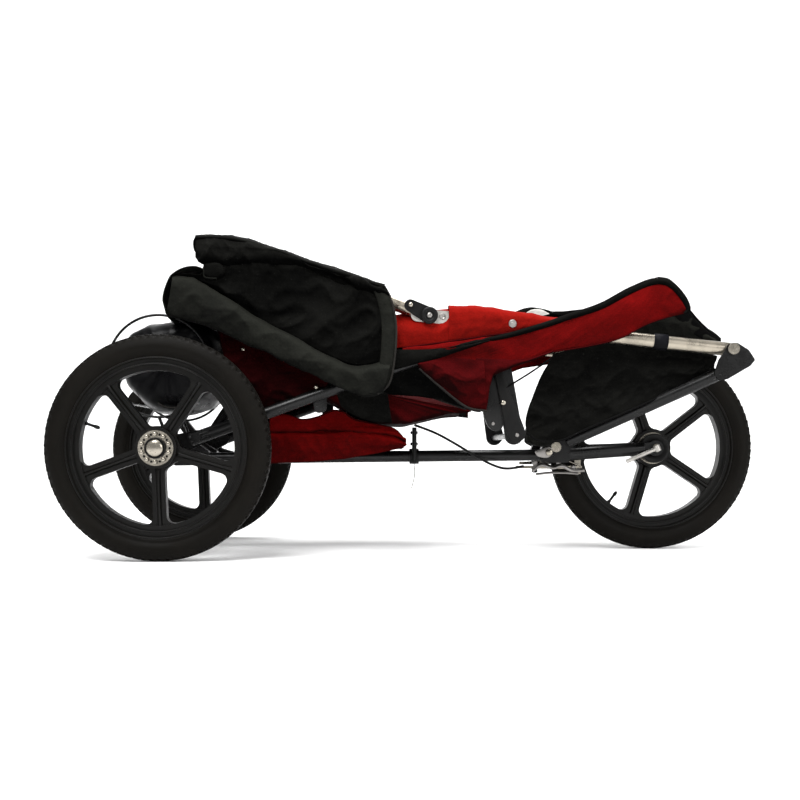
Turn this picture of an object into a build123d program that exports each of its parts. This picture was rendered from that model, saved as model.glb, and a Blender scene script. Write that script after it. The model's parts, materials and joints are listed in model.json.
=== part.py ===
"""Three-wheeled jogging stroller, folded flat, built one sub-part at a time.

Units are millimetres.  X points to the front wheel, Y to the rider's left and
Z up.  The origin is on the floor, midway between the front and rear tyres.
Every moving joint is at zero in this folded position.
"""

from math import hypot, radians, tan
from pathlib import Path

from build123d import *

PARTS = Path("parts")
PARTS.mkdir(exist_ok=True)

# ---------------------------------------------------------------- dimensions
# wheels
WHEEL_R = 200.0
TYRE_W = 45.0
RIM_R = 160.0
RIM_FLOOR_R = 150.0
RIM_INNER_R = 136.0
RIM_W = 28.0
SPOKE_W = 24.0
SPOKE_T = 22.0
HUB_BOSS_R = 36.0
HUB_RING_R = 31.0
HALF_BASE = 465.5
TRACK_HALF = 290.0
REAR_SPOKE_ANGLE = 56.0
FRONT_SPOKE_ANGLE = 38.0

# lower frame
RAIL_Y = 65.0
RAIL_OD = 22.0
BLADE_OD = 26.0
RAIL_WALL = 1.5
RAIL_REAR = (-440.0, 180.0)
RAIL_FRONT = (268.0, 187.0)
BLADE_START = (270.0, 187.0)
FORK_Y = 52.0
AXLE_TUBE_OD = 28.0
AXLE_OD = 12.0
FRONT_AXLE_OD = 9.0
RUN_FIT = 0.05

# upper frame
TUBE_Y = 200.0
TUBE_OD = 25.0
TUBE_WALL = 1.6
STRUT_OD = 24.0
LINK_OD = 24.0
BOLT = 10.0

# pivots, as (X, Z)
PIVOT_LINK = (263.3, 201.9)
PIVOT_HEAD = (566.5, 380.0)
PIVOT_HANDLE = (15.3, 439.6)
PIVOT_STRUT = (-408.9, 219.5)
PIVOT_SHOULDER = (164.0, 423.5)
PIVOT_CANOPY = (-41.5, 461.0)
HANDLE_BEND = (-322.0, 567.0)
HANDLE_END = (-393.5, 569.0)
LINK_TOP = (547.0, 336.0)

# brake
CALIPER_X = 236.0
PAD_X = 318.0
CALIPER_Z = 171.0
GUIDE_Y = -83.0


# ------------------------------------------------------------------- helpers
def save(builder, name):
    """Label the finished part and write it out."""
    builder.part.label = name
    export_step(builder.part, str(PARTS / f"{name}.step"))


def rod(start, end, dia, mode=Mode.ADD):
    """Round bar from one point to another."""
    axis = Vector(*end) - Vector(*start)
    with Locations(Plane(origin=start, z_dir=axis.normalized())):
        Cylinder(
            dia / 2,
            axis.length,
            align=(Align.CENTER, Align.CENTER, Align.MIN),
            mode=mode,
        )


def cross_rod(point, y0, y1, dia, mode=Mode.ADD):
    """Round bar along Y through a point given as (X, Z)."""
    rod((point[0], y0, point[1]), (point[0], y1, point[1]), dia, mode)


def side_plate(points, y0, y1, corner=0.0, mode=Mode.ADD):
    """Plate with an outline given as (X, Z) points, from y0 to y1."""
    low, high = min(y0, y1), max(y0, y1)
    plane = Plane(origin=(0, high, 0), x_dir=(1, 0, 0), z_dir=(0, -1, 0))
    with BuildSketch(plane) as outline:
        with BuildLine():
            Polyline(*points, close=True)
        make_face()
        if corner:
            fillet(outline.vertices(), corner)
    extrude(outline.sketch, amount=high - low, mode=mode)


def link_plate(first, second, r1, r2, y0, y1, mode=Mode.ADD):
    """Plate with round ends hugging two pivots given as (X, Z)."""
    low, high = min(y0, y1), max(y0, y1)
    plane = Plane(origin=(0, high, 0), x_dir=(1, 0, 0), z_dir=(0, -1, 0))
    with BuildSketch(plane) as outline:
        with Locations(first):
            Circle(r1)
        with Locations(second):
            Circle(r2)
        make_hull()
    extrude(outline.sketch, amount=high - low, mode=mode)


def box_between(low, high, mode=Mode.ADD):
    """Block from its lowest corner to its highest corner."""
    with Locations(low):
        Box(
            high[0] - low[0],
            high[1] - low[1],
            high[2] - low[2],
            align=(Align.MIN, Align.MIN, Align.MIN),
            mode=mode,
        )


def bent_rod(points, dia, bend, mode=Mode.ADD):
    """Round bar following straight runs joined by bends."""
    with BuildLine() as path:
        FilletPolyline(*points, radius=bend)
    with BuildSketch(Plane(origin=path.line @ 0, z_dir=path.line % 0)) as ring:
        Circle(dia / 2)
    sweep(ring.sketch, path=path.line, mode=mode)


def routed_rod(points, dia):
    """Round bar along a route, each bend as wide as its two runs allow."""
    runs = [Vector(*b) - Vector(*a) for a, b in zip(points, points[1:])]
    radii = []
    for before, after in zip(runs, runs[1:]):
        turn = radians(before.get_angle(after))
        radii.append(0.45 * min(before.length, after.length) / tan(turn / 2))
    bends = [Vector(*p) for p in points[1:-1]]
    starts = []
    ends = []
    for corner, before, after, radius in zip(bends, runs, runs[1:], radii):
        cut = radius * tan(radians(before.get_angle(after)) / 2)
        starts.append(corner - before.normalized() * cut)
        ends.append(corner + after.normalized() * cut)
    with BuildLine() as route:
        place = Vector(*points[0])
        for start, end, before in zip(starts, ends, runs):
            Line(place, start)
            TangentArc(start, end, tangent=before)
            place = end
        Line(place, Vector(*points[-1]))
    with BuildSketch(Plane(origin=points[0], z_dir=runs[0].normalized())) as ring:
        Circle(dia / 2)
    sweep(ring.sketch, path=route.line)


def along(start, end, distance):
    """Point at a distance from start towards end, both as (X, Z)."""
    span = hypot(end[0] - start[0], end[1] - start[1])
    share = distance / span
    return (
        start[0] + (end[0] - start[0]) * share,
        start[1] + (end[1] - start[1]) * share,
    )


def at(point, y):
    """Three-dimensional point from (X, Z) and Y."""
    return (point[0], y, point[1])


def main_z(x):
    """Height of the main tube axis at X."""
    slope = (PIVOT_HANDLE[1] - PIVOT_HEAD[1]) / (PIVOT_HANDLE[0] - PIVOT_HEAD[0])
    return PIVOT_HEAD[1] + (x - PIVOT_HEAD[0]) * slope


def rail_z(x):
    """Height of the lower rail axis at X."""
    slope = (RAIL_FRONT[1] - RAIL_REAR[1]) / (RAIL_FRONT[0] - RAIL_REAR[0])
    return RAIL_REAR[1] + (x - RAIL_REAR[0]) * slope


# -------------------------------------------------------------------- wheels
def wheel(x, y, spoke_angle, name):
    """Five-spoke moulded wheel centred on (x, y, WHEEL_R)."""
    plane = Plane(origin=(x, y, WHEEL_R), x_dir=(1, 0, 0), z_dir=(0, -1, 0))
    with BuildPart() as part:
        with BuildSketch(plane) as disc:
            Circle(RIM_FLOOR_R)
        extrude(disc.sketch, amount=SPOKE_T / 2, both=True)
        with BuildSketch(plane) as rim:
            Circle(RIM_FLOOR_R)
            Circle(RIM_INNER_R, mode=Mode.SUBTRACT)
        extrude(rim.sketch, amount=RIM_W / 2, both=True)
        for side in (-1, 1):
            flange_plane = plane.offset(side * (RIM_W / 2 - 1.5))
            with BuildSketch(flange_plane) as flange:
                Circle(RIM_R)
                Circle(RIM_FLOOR_R - 4, mode=Mode.SUBTRACT)
            extrude(flange.sketch, amount=1.5, both=True)
        with BuildSketch(plane) as windows:
            Circle(RIM_INNER_R)
            Circle(HUB_BOSS_R + 3, mode=Mode.SUBTRACT)
            with PolarLocations(0, 5, start_angle=spoke_angle):
                Rectangle(
                    RIM_R,
                    SPOKE_W,
                    align=(Align.MIN, Align.CENTER),
                    mode=Mode.SUBTRACT,
                )
            fillet(windows.vertices(), 13)
        extrude(windows.sketch, amount=RIM_W, both=True, mode=Mode.SUBTRACT)
        cross_rod((x, WHEEL_R), y - 24, y + 24, 2 * HUB_BOSS_R)
        cross_rod((x, WHEEL_R), y - 40, y + 40, 30, Mode.SUBTRACT)
    save(part, name)


def tyre(x, y, name):
    """Hollow tyre with its beads between the rim flanges."""
    bead = 10.9
    middle = 179.5
    with BuildPart() as part:
        section_plane = Plane(origin=(x, y, WHEEL_R), x_dir=(0, 1, 0), z_dir=(1, 0, 0))
        with BuildSketch(section_plane) as section:
            with Locations((0, middle)):
                Ellipse(TYRE_W / 2, WHEEL_R - middle)
            with Locations((0, RIM_FLOOR_R)):
                Rectangle(2 * bead, 18, align=(Align.CENTER, Align.MIN))
            with Locations((0, middle)):
                Ellipse(TYRE_W / 2 - 4, WHEEL_R - middle - 5, mode=Mode.SUBTRACT)
            with Locations((0, RIM_FLOOR_R)):
                Rectangle(13, 20, align=(Align.CENTER, Align.MIN), mode=Mode.SUBTRACT)
        revolve(section.sketch, axis=Axis((x, y, WHEEL_R), (0, 1, 0)))
    save(part, name)


def rear_hub(side, name):
    """Hub with two riveted rings and a closed domed outer end."""
    x = -HALF_BASE
    y = side * TRACK_HALF
    axle = (x, WHEEL_R)
    with BuildPart() as part:
        cross_rod(axle, y - 24, y + 24, 30)
        for way in (-1, 1):
            face = y + way * 24
            cross_rod(axle, face, face + way * 3, 2 * HUB_RING_R)
            plane = Plane(origin=(x, face, WHEEL_R), x_dir=(1, 0, 0), z_dir=(0, way, 0))
            with BuildSketch(plane) as holes:
                with PolarLocations(24.5, 10):
                    Circle(2.2)
            extrude(holes.sketch, amount=3, mode=Mode.SUBTRACT)
        cross_rod(axle, y + side * 27, y + side * 31, 29)
        cap = Plane(origin=(x, y + side * 31, WHEEL_R), z_dir=(0, side, 0))
        with BuildSketch(cap) as dome:
            Circle(14.5)
        extrude(dome.sketch, amount=4, taper=45)
        cross_rod(axle, y - side * 30, y + side * 28, AXLE_OD + 2 * RUN_FIT, Mode.SUBTRACT)
    save(part, name)


def front_hub():
    """Long hub between the fork dropouts."""
    axle = (HALF_BASE, WHEEL_R)
    with BuildPart() as part:
        cross_rod(axle, -45, 45, 30)
        for way in (-1, 1):
            cross_rod(axle, way * 24, way * 27, 2 * HUB_RING_R)
        cross_rod(axle, -50, 50, FRONT_AXLE_OD + 2 * RUN_FIT, Mode.SUBTRACT)
    save(part, "front_hub")


wheel(-HALF_BASE, TRACK_HALF, REAR_SPOKE_ANGLE, "rear_left_wheel")
wheel(-HALF_BASE, -TRACK_HALF, REAR_SPOKE_ANGLE, "rear_right_wheel")
wheel(HALF_BASE, 0, FRONT_SPOKE_ANGLE, "front_wheel")
tyre(-HALF_BASE, TRACK_HALF, "rear_left_tyre")
tyre(-HALF_BASE, -TRACK_HALF, "rear_right_tyre")
tyre(HALF_BASE, 0, "front_tyre")
rear_hub(1, "rear_left_hub")
rear_hub(-1, "rear_right_hub")
front_hub()

SIDES = ((1, "left"), (-1, "right"))
REAR_AXLE = (-HALF_BASE, WHEEL_R)
FRONT_AXLE = (HALF_BASE, WHEEL_R)

# --------------------------------------------------------------- lower frame
for side, hand in SIDES:
    y = side * RAIL_Y
    with BuildPart() as lower_rail:
        rod(at(RAIL_REAR, y), at(RAIL_FRONT, y), RAIL_OD)
        rod(at(RAIL_REAR, y), at(RAIL_FRONT, y), RAIL_OD - 2 * RAIL_WALL, Mode.SUBTRACT)
    save(lower_rail, f"lower_rail_{hand}")

    blade_end = (HALF_BASE - 24, WHEEL_R - 1)
    with BuildPart() as fork_blade:
        rod(at(BLADE_START, y), at(blade_end, side * FORK_Y), BLADE_OD)
        cross_rod(FRONT_AXLE, side * (FORK_Y - 4), side * (FORK_Y + 3), 30)
        link_plate(
            blade_end,
            FRONT_AXLE,
            10,
            13,
            side * (FORK_Y - 4),
            side * (FORK_Y + 3),
        )
        cross_rod(FRONT_AXLE, side * 30, side * 70, FRONT_AXLE_OD, Mode.SUBTRACT)
    save(fork_blade, f"fork_blade_{hand}")

    with BuildPart() as fork_lug:
        lug_outline = ((238, 172), (292, 172), (292, 200), (278, 218), (249, 218), (238, 200))
        side_plate(lug_outline, side * 66, side * 89, corner=5)
        rod(at(RAIL_REAR, y), at(RAIL_FRONT, y), RAIL_OD, Mode.SUBTRACT)
        rod(at(BLADE_START, y), at(blade_end, side * FORK_Y), BLADE_OD, Mode.SUBTRACT)
        cross_rod(PIVOT_LINK, side * 60, side * 95, BOLT, Mode.SUBTRACT)
    save(fork_lug, f"fork_lug_{hand}")

    with BuildPart() as link_bolt:
        cross_rod(PIVOT_LINK, side * 76, side * 101.2, BOLT)
        cross_rod(PIVOT_LINK, side * 101.2, side * 107, 19)
    save(link_bolt, f"link_bolt_{hand}")

    with BuildPart() as axle_lug:
        lug_outline = ((-488, 184), (-470, 166), (-404, 167), (-404, 194), (-446, 222), (-484, 222))
        side_plate(lug_outline, side * 54, side * 76, corner=6)
        rod(at(RAIL_REAR, y), at(RAIL_FRONT, y), RAIL_OD, Mode.SUBTRACT)
        cross_rod(REAR_AXLE, side * 40, side * 90, AXLE_TUBE_OD, Mode.SUBTRACT)
    save(axle_lug, f"axle_lug_{hand}")

    with BuildPart() as strut_bracket:
        link_plate(REAR_AXLE, PIVOT_STRUT, 22, 14, side * 181.5, side * 187)
        cross_rod(PIVOT_STRUT, side * 185, side * 214, BOLT)
        cross_rod(PIVOT_STRUT, side * 213, side * 218, 18)
        cross_rod(REAR_AXLE, side * 170, side * 195, AXLE_TUBE_OD, Mode.SUBTRACT)
    save(strut_bracket, f"strut_bracket_{hand}")

with BuildPart() as rear_axle:
    cross_rod(REAR_AXLE, -255, 255, AXLE_TUBE_OD)
    cross_rod(REAR_AXLE, -316, 316, AXLE_OD)
save(rear_axle, "rear_axle")

with BuildPart() as front_axle:
    cross_rod(FRONT_AXLE, -60.5, 62, FRONT_AXLE_OD)
    cross_rod(FRONT_AXLE, 55.2, 63, 18)
    cross_rod(FRONT_AXLE, -55.2, -60.5, 16)
save(front_axle, "front_axle")

# --------------------------------------------------------------- front brake
with BuildPart() as caliper_bridge:
    bridge_at = (CALIPER_X, rail_z(CALIPER_X))
    cross_rod(bridge_at, -RAIL_Y, RAIL_Y, 16)
    rod((CALIPER_X, 0, CALIPER_Z + 12), (CALIPER_X, 0, CALIPER_Z - 20), 6)
    rod((CALIPER_X, 0, CALIPER_Z - 13), (CALIPER_X, 0, CALIPER_Z - 19), 12)
    for side, hand in SIDES:
        y = side * RAIL_Y
        rod(at(RAIL_REAR, y), at(RAIL_FRONT, y), RAIL_OD, Mode.SUBTRACT)
        box_between((200, min(y, 2 * y), 150), (260, max(y, 2 * y), 220), Mode.SUBTRACT)
save(caliper_bridge, "caliper_bridge")

for side, hand in SIDES:
    z0 = CALIPER_Z - 3 if side > 0 else CALIPER_Z - 11.5
    with BuildPart() as caliper_arm:
        with BuildSketch(Plane.XY.offset(z0)) as arm:
            with Locations((CALIPER_X, 0)):
                Circle(10)
            with BuildLine():
                Polyline(
                    (CALIPER_X - 8, side * 4),
                    (CALIPER_X - 8, side * 40),
                    (PAD_X + 6, side * 40),
                    (PAD_X + 6, side * 30),
                    (CALIPER_X + 6, side * 30),
                    (CALIPER_X + 8, side * 4),
                    close=True,
                )
            make_face()
            with BuildLine():
                Polyline(
                    (CALIPER_X - 8, side * 10),
                    (CALIPER_X - 34, -side * 26),
                    (CALIPER_X - 26, -side * 32),
                    (CALIPER_X + 4, -side * 4),
                    (CALIPER_X + 6, side * 8),
                    close=True,
                )
            make_face()
        extrude(arm.sketch, amount=5.5)
        pad_z = 165.0
        rod((PAD_X, side * 40, pad_z), (PAD_X, side * 22, pad_z), 8)
        box_between(
            (PAD_X - 6, min(side * 16, side * 23), pad_z - 16),
            (PAD_X + 6, max(side * 16, side * 23), pad_z + 16),
        )
        rod((CALIPER_X, 0, 100), (CALIPER_X, 0, 200), 6 + 2 * RUN_FIT, Mode.SUBTRACT)
    save(caliper_arm, f"caliper_arm_{hand}")

with BuildPart() as cable_guide:
    guide_x = -7.0
    rod((guide_x - 9, -RAIL_Y, rail_z(guide_x - 9)), (guide_x + 9, -RAIL_Y, rail_z(guide_x + 9)), 30)
    rod((guide_x, GUIDE_Y, 172), (guide_x, GUIDE_Y, 240), 9)
    rod(at(RAIL_REAR, -RAIL_Y), at(RAIL_FRONT, -RAIL_Y), RAIL_OD, Mode.SUBTRACT)
save(cable_guide, "cable_guide")

with BuildPart() as brake_cable:
    cable_route = (
        (209, -34, 164.8),
        (178, -57, 157.5),
        (143, -83, 167),
        (105, -93, 188),
        (64, -92, 213),
        (27, -88, 233),
        (-7, GUIDE_Y, 244.5),
    )
    routed_rod(cable_route, 5)
save(brake_cable, "brake_cable")

with BuildPart() as qr_lever:
    reach = Vector(-0.9207, 0, -0.3903)
    turn = (HALF_BASE, -67.0, WHEEL_R)
    tip = Vector(*turn) + reach * 66 + Vector(0, -4, 0)
    barrel = Vector(-0.3903, 0, 0.9207)
    rod(tuple(Vector(*turn) - barrel * 6), tuple(Vector(*turn) + barrel * 6), 12.4)
    rod(turn, tuple(tip), 8)
save(qr_lever, "qr_lever")

# --------------------------------------------------------------- front links
for side, hand in SIDES:
    foot = at(along(PIVOT_LINK, LINK_TOP, 26), side * 99)
    top = at(LINK_TOP, side * 203)
    with BuildPart() as front_link:
        rod(foot, top, LINK_OD)
        link_plate(
            PIVOT_LINK,
            along(PIVOT_LINK, LINK_TOP, 40),
            17,
            12,
            side * 89.5,
            side * 100.5,
        )
        gusset = (
            (556, 388),
            (574, 391),
            (595, 378),
            (607, 360),
            (598, 349),
            (557, 325),
            (540, 322),
            (533, 336),
            (541, 360),
            (551, 376),
        )
        side_plate(gusset, side * 213, side * 218, corner=4)
        rod(at(along(LINK_TOP, PIVOT_LINK, 16), side * 206), at(LINK_TOP, side * 214), 12)
        cross_rod(LINK_TOP, side * 200, side * 214, 18)
        cross_rod(PIVOT_LINK, side * 80, side * 110, BOLT + 2 * RUN_FIT, Mode.SUBTRACT)
        cross_rod(PIVOT_HEAD, side * 205, side * 225, BOLT, Mode.SUBTRACT)
    save(front_link, f"front_link_{hand}")

    with BuildPart() as head_bolt:
        cross_rod(PIVOT_HEAD, side * 185, side * 218, BOLT)
        cross_rod(PIVOT_HEAD, side * 218, side * 224, 21)
    save(head_bolt, f"head_bolt_{hand}")

# ---------------------------------------------------------------- main frame
TUBE_FRONT = along(PIVOT_HEAD, PIVOT_HANDLE, -14)
TUBE_REAR = along(PIVOT_HANDLE, PIVOT_HEAD, 15.5)
BACK_CROSS = (62.0, main_z(62.0))
SEAT_CROSS = (250.0, main_z(250.0))

for side, hand in SIDES:
    y = side * TUBE_Y
    with BuildPart() as main_tube:
        rod(at(TUBE_FRONT, y), at(TUBE_REAR, y), TUBE_OD)
        rod(at(TUBE_FRONT, y), at(TUBE_REAR, y), TUBE_OD - 2 * TUBE_WALL, Mode.SUBTRACT)
        cross_rod(
            PIVOT_HEAD,
            side * 180,
            side * 220,
            BOLT + 2 * RUN_FIT,
            Mode.SUBTRACT,
        )
        cross_rod(PIVOT_SHOULDER, side * 180, side * 220, 8, Mode.SUBTRACT)
    save(main_tube, f"main_tube_{hand}")

    with BuildPart() as hinge_plate:
        link_plate(
            (-6, PIVOT_HANDLE[1] + 2),
            (48, main_z(48)),
            12,
            12,
            side * 212.5,
            side * 216.5,
        )
        cross_rod(PIVOT_HANDLE, side * 190, side * 222, BOLT)
        cross_rod(PIVOT_HANDLE, side * 221.7, side * 228, 24)
    save(hinge_plate, f"hinge_plate_{hand}")

    with BuildPart() as side_panel:
        panel = (
            (58, 457),
            (165, 445),
            (253, 431),
            (320, 455),
            (398, 492),
            (425, 507),
            (449, 503),
            (470, 477),
            (485, 453),
            (481, 444),
            (407, 423),
            (361, 399),
            (307, 385),
            (238, 374),
            (147, 334),
            (115, 316),
            (107, 269),
            (44, 261),
            (-16, 247),
            (-30, 300),
            (-26, 412),
            (52, 420),
        )
        side_plate(panel, side * 219.5, side * 223.5)
        strap = (
            (75, main_z(75) + TUBE_OD / 2 + 0.1),
            (235, main_z(235) + TUBE_OD / 2 + 0.1),
            (235, main_z(235) + TUBE_OD / 2 + 4),
            (75, main_z(75) + TUBE_OD / 2 + 4),
        )
        side_plate(strap, side * 196, side * 222)
    save(side_panel, f"side_panel_{hand}")

with BuildPart() as back_cross_tube:
    cross_rod(BACK_CROSS, -TUBE_Y, TUBE_Y, 20)
    cross_rod(BACK_CROSS, -TUBE_Y, TUBE_Y, 17, Mode.SUBTRACT)
    for side in (1, -1):
        rod(at(TUBE_FRONT, side * TUBE_Y), at(TUBE_REAR, side * TUBE_Y), TUBE_OD, Mode.SUBTRACT)
save(back_cross_tube, "back_cross_tube")

with BuildPart() as seat_cross_tube:
    cross_rod(SEAT_CROSS, -TUBE_Y, TUBE_Y, 20)
    cross_rod(SEAT_CROSS, -TUBE_Y, TUBE_Y, 17, Mode.SUBTRACT)
    for side in (1, -1):
        rod(at(TUBE_FRONT, side * TUBE_Y), at(TUBE_REAR, side * TUBE_Y), TUBE_OD, Mode.SUBTRACT)
save(seat_cross_tube, "seat_cross_tube")

HANGER_TOP = (141.0, main_z(141.0))
HANGER_LOW = (173.0, 223.0)

with BuildPart() as seat_hanger:
    for side in (1, -1):
        link_plate(HANGER_TOP, HANGER_LOW, 12, 17, side * 182, side * 187.9)
    cross_rod(HANGER_LOW, -184, 184, 12)
    for side in (1, -1):
        rod(at(TUBE_FRONT, side * TUBE_Y), at(TUBE_REAR, side * TUBE_Y), TUBE_OD, Mode.SUBTRACT)
save(seat_hanger, "seat_hanger")

# --------------------------------------------------------------- rear struts
STRUT_TUBE_END = along(PIVOT_SHOULDER, PIVOT_STRUT, 68)

for side, hand in SIDES:
    y = side * TUBE_Y
    with BuildPart() as rear_strut:
        rod(at(along(PIVOT_STRUT, PIVOT_SHOULDER, -13), y), at(STRUT_TUBE_END, y), STRUT_OD)
        link_plate(
            PIVOT_SHOULDER,
            along(PIVOT_SHOULDER, PIVOT_STRUT, 96),
            10,
            9,
            side * 212.7,
            side * 216.2,
        )
        rod(
            at(along(PIVOT_SHOULDER, PIVOT_STRUT, 84), side * 205),
            at(along(PIVOT_SHOULDER, PIVOT_STRUT, 84), side * 214),
            14,
        )
        cross_rod(PIVOT_STRUT, side * 180, side * 220, BOLT + 2 * RUN_FIT, Mode.SUBTRACT)
        cross_rod(PIVOT_SHOULDER, side * 205, side * 220, 8.2, Mode.SUBTRACT)
    save(rear_strut, f"rear_strut_{hand}")

# ---------------------------------------------------------------- handlebar
HANDLE_START = along(PIVOT_HANDLE, HANDLE_BEND, -8)
CORNER = 50.0

with BuildPart() as handlebar:
    loop = (
        at(HANDLE_START, -TUBE_Y),
        at(HANDLE_BEND, -TUBE_Y),
        at(HANDLE_END, -TUBE_Y),
        at(HANDLE_END, TUBE_Y),
        at(HANDLE_BEND, TUBE_Y),
        at(HANDLE_START, TUBE_Y),
    )
    bent_rod(loop, TUBE_OD, CORNER)
    bent_rod(loop, TUBE_OD - 2 * TUBE_WALL, CORNER, Mode.SUBTRACT)
    for side in (1, -1):
        cross_rod(PIVOT_CANOPY, side * 205, side * 234, 8)
        cross_rod(
            PIVOT_HANDLE,
            side * 180,
            side * 220,
            BOLT + 2 * RUN_FIT,
            Mode.SUBTRACT,
        )
save(handlebar, "handlebar_tube")

with BuildPart() as grip:
    cross_rod(HANDLE_END, -140, 80, 33)
    cross_rod(HANDLE_END, -150, 90, TUBE_OD, Mode.SUBTRACT)
save(grip, "foam_grip")

for side, hand in SIDES:
    rivet_at = (-19.1, 458.0)
    with BuildPart() as hinge_lever:
        link_plate(PIVOT_HANDLE, rivet_at, 15, 11, side * 217, side * 221)
        cross_rod(rivet_at, side * 200, side * 223.5, 7)
        rod(at(HANDLE_START, side * TUBE_Y), at(HANDLE_BEND, side * TUBE_Y), TUBE_OD, Mode.SUBTRACT)
        cross_rod(
            PIVOT_HANDLE,
            side * 190,
            side * 222,
            BOLT + 2 * RUN_FIT,
            Mode.SUBTRACT,
        )
        box_between(
            (-60, min(side * 180, side * 205), 400),
            (40, max(side * 180, side * 205), 500),
            Mode.SUBTRACT,
        )
    save(hinge_lever, f"hinge_lever_{hand}")

LEVER_PIVOT = (-362.0, 118.0)

with BuildPart() as brake_mount:
    cross_rod(HANDLE_END, 106, 128, 35)
    box_between((-386, 106, 562), (-353, 128, 566.5))
    box_between((-386, 106, 572), (-353, 128, 576.5))
    rod((*LEVER_PIVOT, 562), (*LEVER_PIVOT, 576.5), 5)
    cross_rod(HANDLE_END, 100, 134, TUBE_OD, Mode.SUBTRACT)
save(brake_mount, "brake_mount")

with BuildPart() as brake_lever:
    with BuildSketch(Plane.XY.offset(567)) as blade:
        with BuildLine():
            Polyline(
                (-368, 124),
                (-355, 124),
                (-346, 90),
                (-341, 30),
                (-345, 14),
                (-354, 16),
                (-352, 40),
                (-357, 90),
                (-368, 108),
                close=True,
            )
        make_face()
        fillet(blade.vertices(), 2.5)
    extrude(blade.sketch, amount=4.5)
    rod((*LEVER_PIVOT, 560), (*LEVER_PIVOT, 580), 5 + 2 * RUN_FIT, Mode.SUBTRACT)
save(brake_lever, "brake_lever")

# -------------------------------------------------------------- soft goods
SKIN = 4.0

with BuildPart() as seat_sling:
    seat_plane = Plane(origin=(0, 0, 0), x_dir=(1, 0, 0), z_dir=(0, -1, 0))
    with BuildSketch(seat_plane) as seat_band:
        with BuildLine() as outer_loop:
            outer = Spline(
                (252, SEAT_CROSS[1] - 10),
                (165, 344),
                (107, 275),
                (-16, 250),
                (-156, 268),
                (-270, 322),
                (-290, 366),
                (-230, 392),
                (-90, 404),
                (62, BACK_CROSS[1] - 10),
            )
            Line(outer @ 1, (62, BACK_CROSS[1] - 10 - SKIN))
            inner = Spline(
                (62, BACK_CROSS[1] - 10 - SKIN),
                (-90, 400),
                (-230, 388),
                (-286, 364),
                (-266, 325),
                (-156, 272.5),
                (-16, 254.5),
                (104, 279),
                (162, 348),
                (245, SEAT_CROSS[1] - 8.6),
            )
            Line(inner @ 1, outer @ 0)
        make_face()
    extrude(seat_band.sketch, amount=178, both=True)
    for centre in (SEAT_CROSS, BACK_CROSS):
        cross_rod(centre, -200, 200, 20, Mode.SUBTRACT)
save(seat_sling, "seat_sling")

# Outline of the footwell's side, hump over the front tyre included.
HUMP = ((404, 470), (450, 492), (480, 470), (520, 420))
FOOTWELL_Y = 165
CLOTH_T = 4
SADDLE_Z = 2 * WHEEL_R + 10
for side, name in ((1, "left"), (-1, "right")):
    with BuildPart() as footwell_side:
        curtain = (
            (250, 372),
            (258, 404),
            (404, 388),
            *HUMP,
            (540, 374),
            (556, 372),
            (556, 360),
            (215, 222),
            (200, 240),
        )
        side_plate(curtain, side * FOOTWELL_Y, side * (FOOTWELL_Y + CLOTH_T))
    save(footwell_side, f"footwell_{name}")

with BuildPart() as footwell_top:
    saddle = (
        (404, SADDLE_Z),
        *HUMP,
        (524, SADDLE_Z),
        (519, SADDLE_Z),
        (476, 466),
        (449, 487),
        (408, 467),
        (408, SADDLE_Z),
    )
    side_plate(saddle, -FOOTWELL_Y, FOOTWELL_Y)
save(footwell_top, "footwell_top")

with BuildPart() as canopy_bow:
    bow_corner = (-430.0, 550.0)
    loop = (
        at(along(PIVOT_CANOPY, bow_corner, 9), -228),
        at(bow_corner, -228),
        at(bow_corner, 228),
        at(along(PIVOT_CANOPY, bow_corner, 9), 228),
    )
    bent_rod(loop, 8, 30)
    for side in (1, -1):
        cross_rod(PIVOT_CANOPY, side * 223, side * 233, 20)
        cross_rod(PIVOT_CANOPY, side * 220, side * 236, 8 + 2 * RUN_FIT, Mode.SUBTRACT)
save(canopy_bow, "canopy_bow")

with BuildPart() as canopy_shell:
    hood = (
        (-62, 490),
        (-308, 582),
        (-332, 589),
        (-400, 598),
        (-440, 583),
        (-458, 540),
        (-456, 470),
        (-448, 425),
        (-300, 372),
        (-170, 312),
        (-83, 292),
        (-47, 320),
        (-36, 385),
        (-46, 445),
    )
    side_plate(hood, -246, 246)
    inside = (
        (-30, 478.5),
        (-308, 578),
        (-332, 584.5),
        (-399, 593),
        (-436, 579),
        (-453, 539),
        (-451, 470),
        (-520, 425),
        (-300, 200),
        (30, 250),
    )
    side_plate(inside, -241, 241, mode=Mode.SUBTRACT)
    box_between((-470, -241, 400), (-440, 241, 472), Mode.SUBTRACT)
    box_between((-100, -241, 280), (-20, 241, 492), Mode.SUBTRACT)
    bent_rod(loop, 8, 30, Mode.SUBTRACT)
save(canopy_shell, "canopy_shell")

with BuildPart() as basket_pan:
    pan_low = (-284, -120, rail_z(-22) + RAIL_OD / 2)
    pan_high = (-24, 120, 241)
    box_between(pan_low, pan_high)
    box_between(
        (pan_low[0] + 4, pan_low[1] + 4, pan_low[2] + 4),
        (pan_high[0] - 4, pan_high[1] - 4, 260),
        Mode.SUBTRACT,
    )
    for side in (1, -1):
        y = side * RAIL_Y
        rod(at(RAIL_REAR, y), at(RAIL_FRONT, y), RAIL_OD, Mode.SUBTRACT)
save(basket_pan, "basket_pan")

BAG_OUTLINE = (
    (-577, 353),
    (-560, 410),
    (-520, 437),
    (-478, 443),
    (-425, 437),
    (-370, 424),
    (-372, 372),
    (-405, 306),
    (-450, 277),
    (-500, 265),
    (-545, 296),
)
BAG_INSIDE = (
    (-571.5, 353),
    (-556, 406),
    (-518, 431.5),
    (-478, 437.5),
    (-426, 432),
    (-300, 404),
    (-300, 374),
    (-409, 311),
    (-452, 282),
    (-498.5, 271),
    (-541, 299),
)

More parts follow.
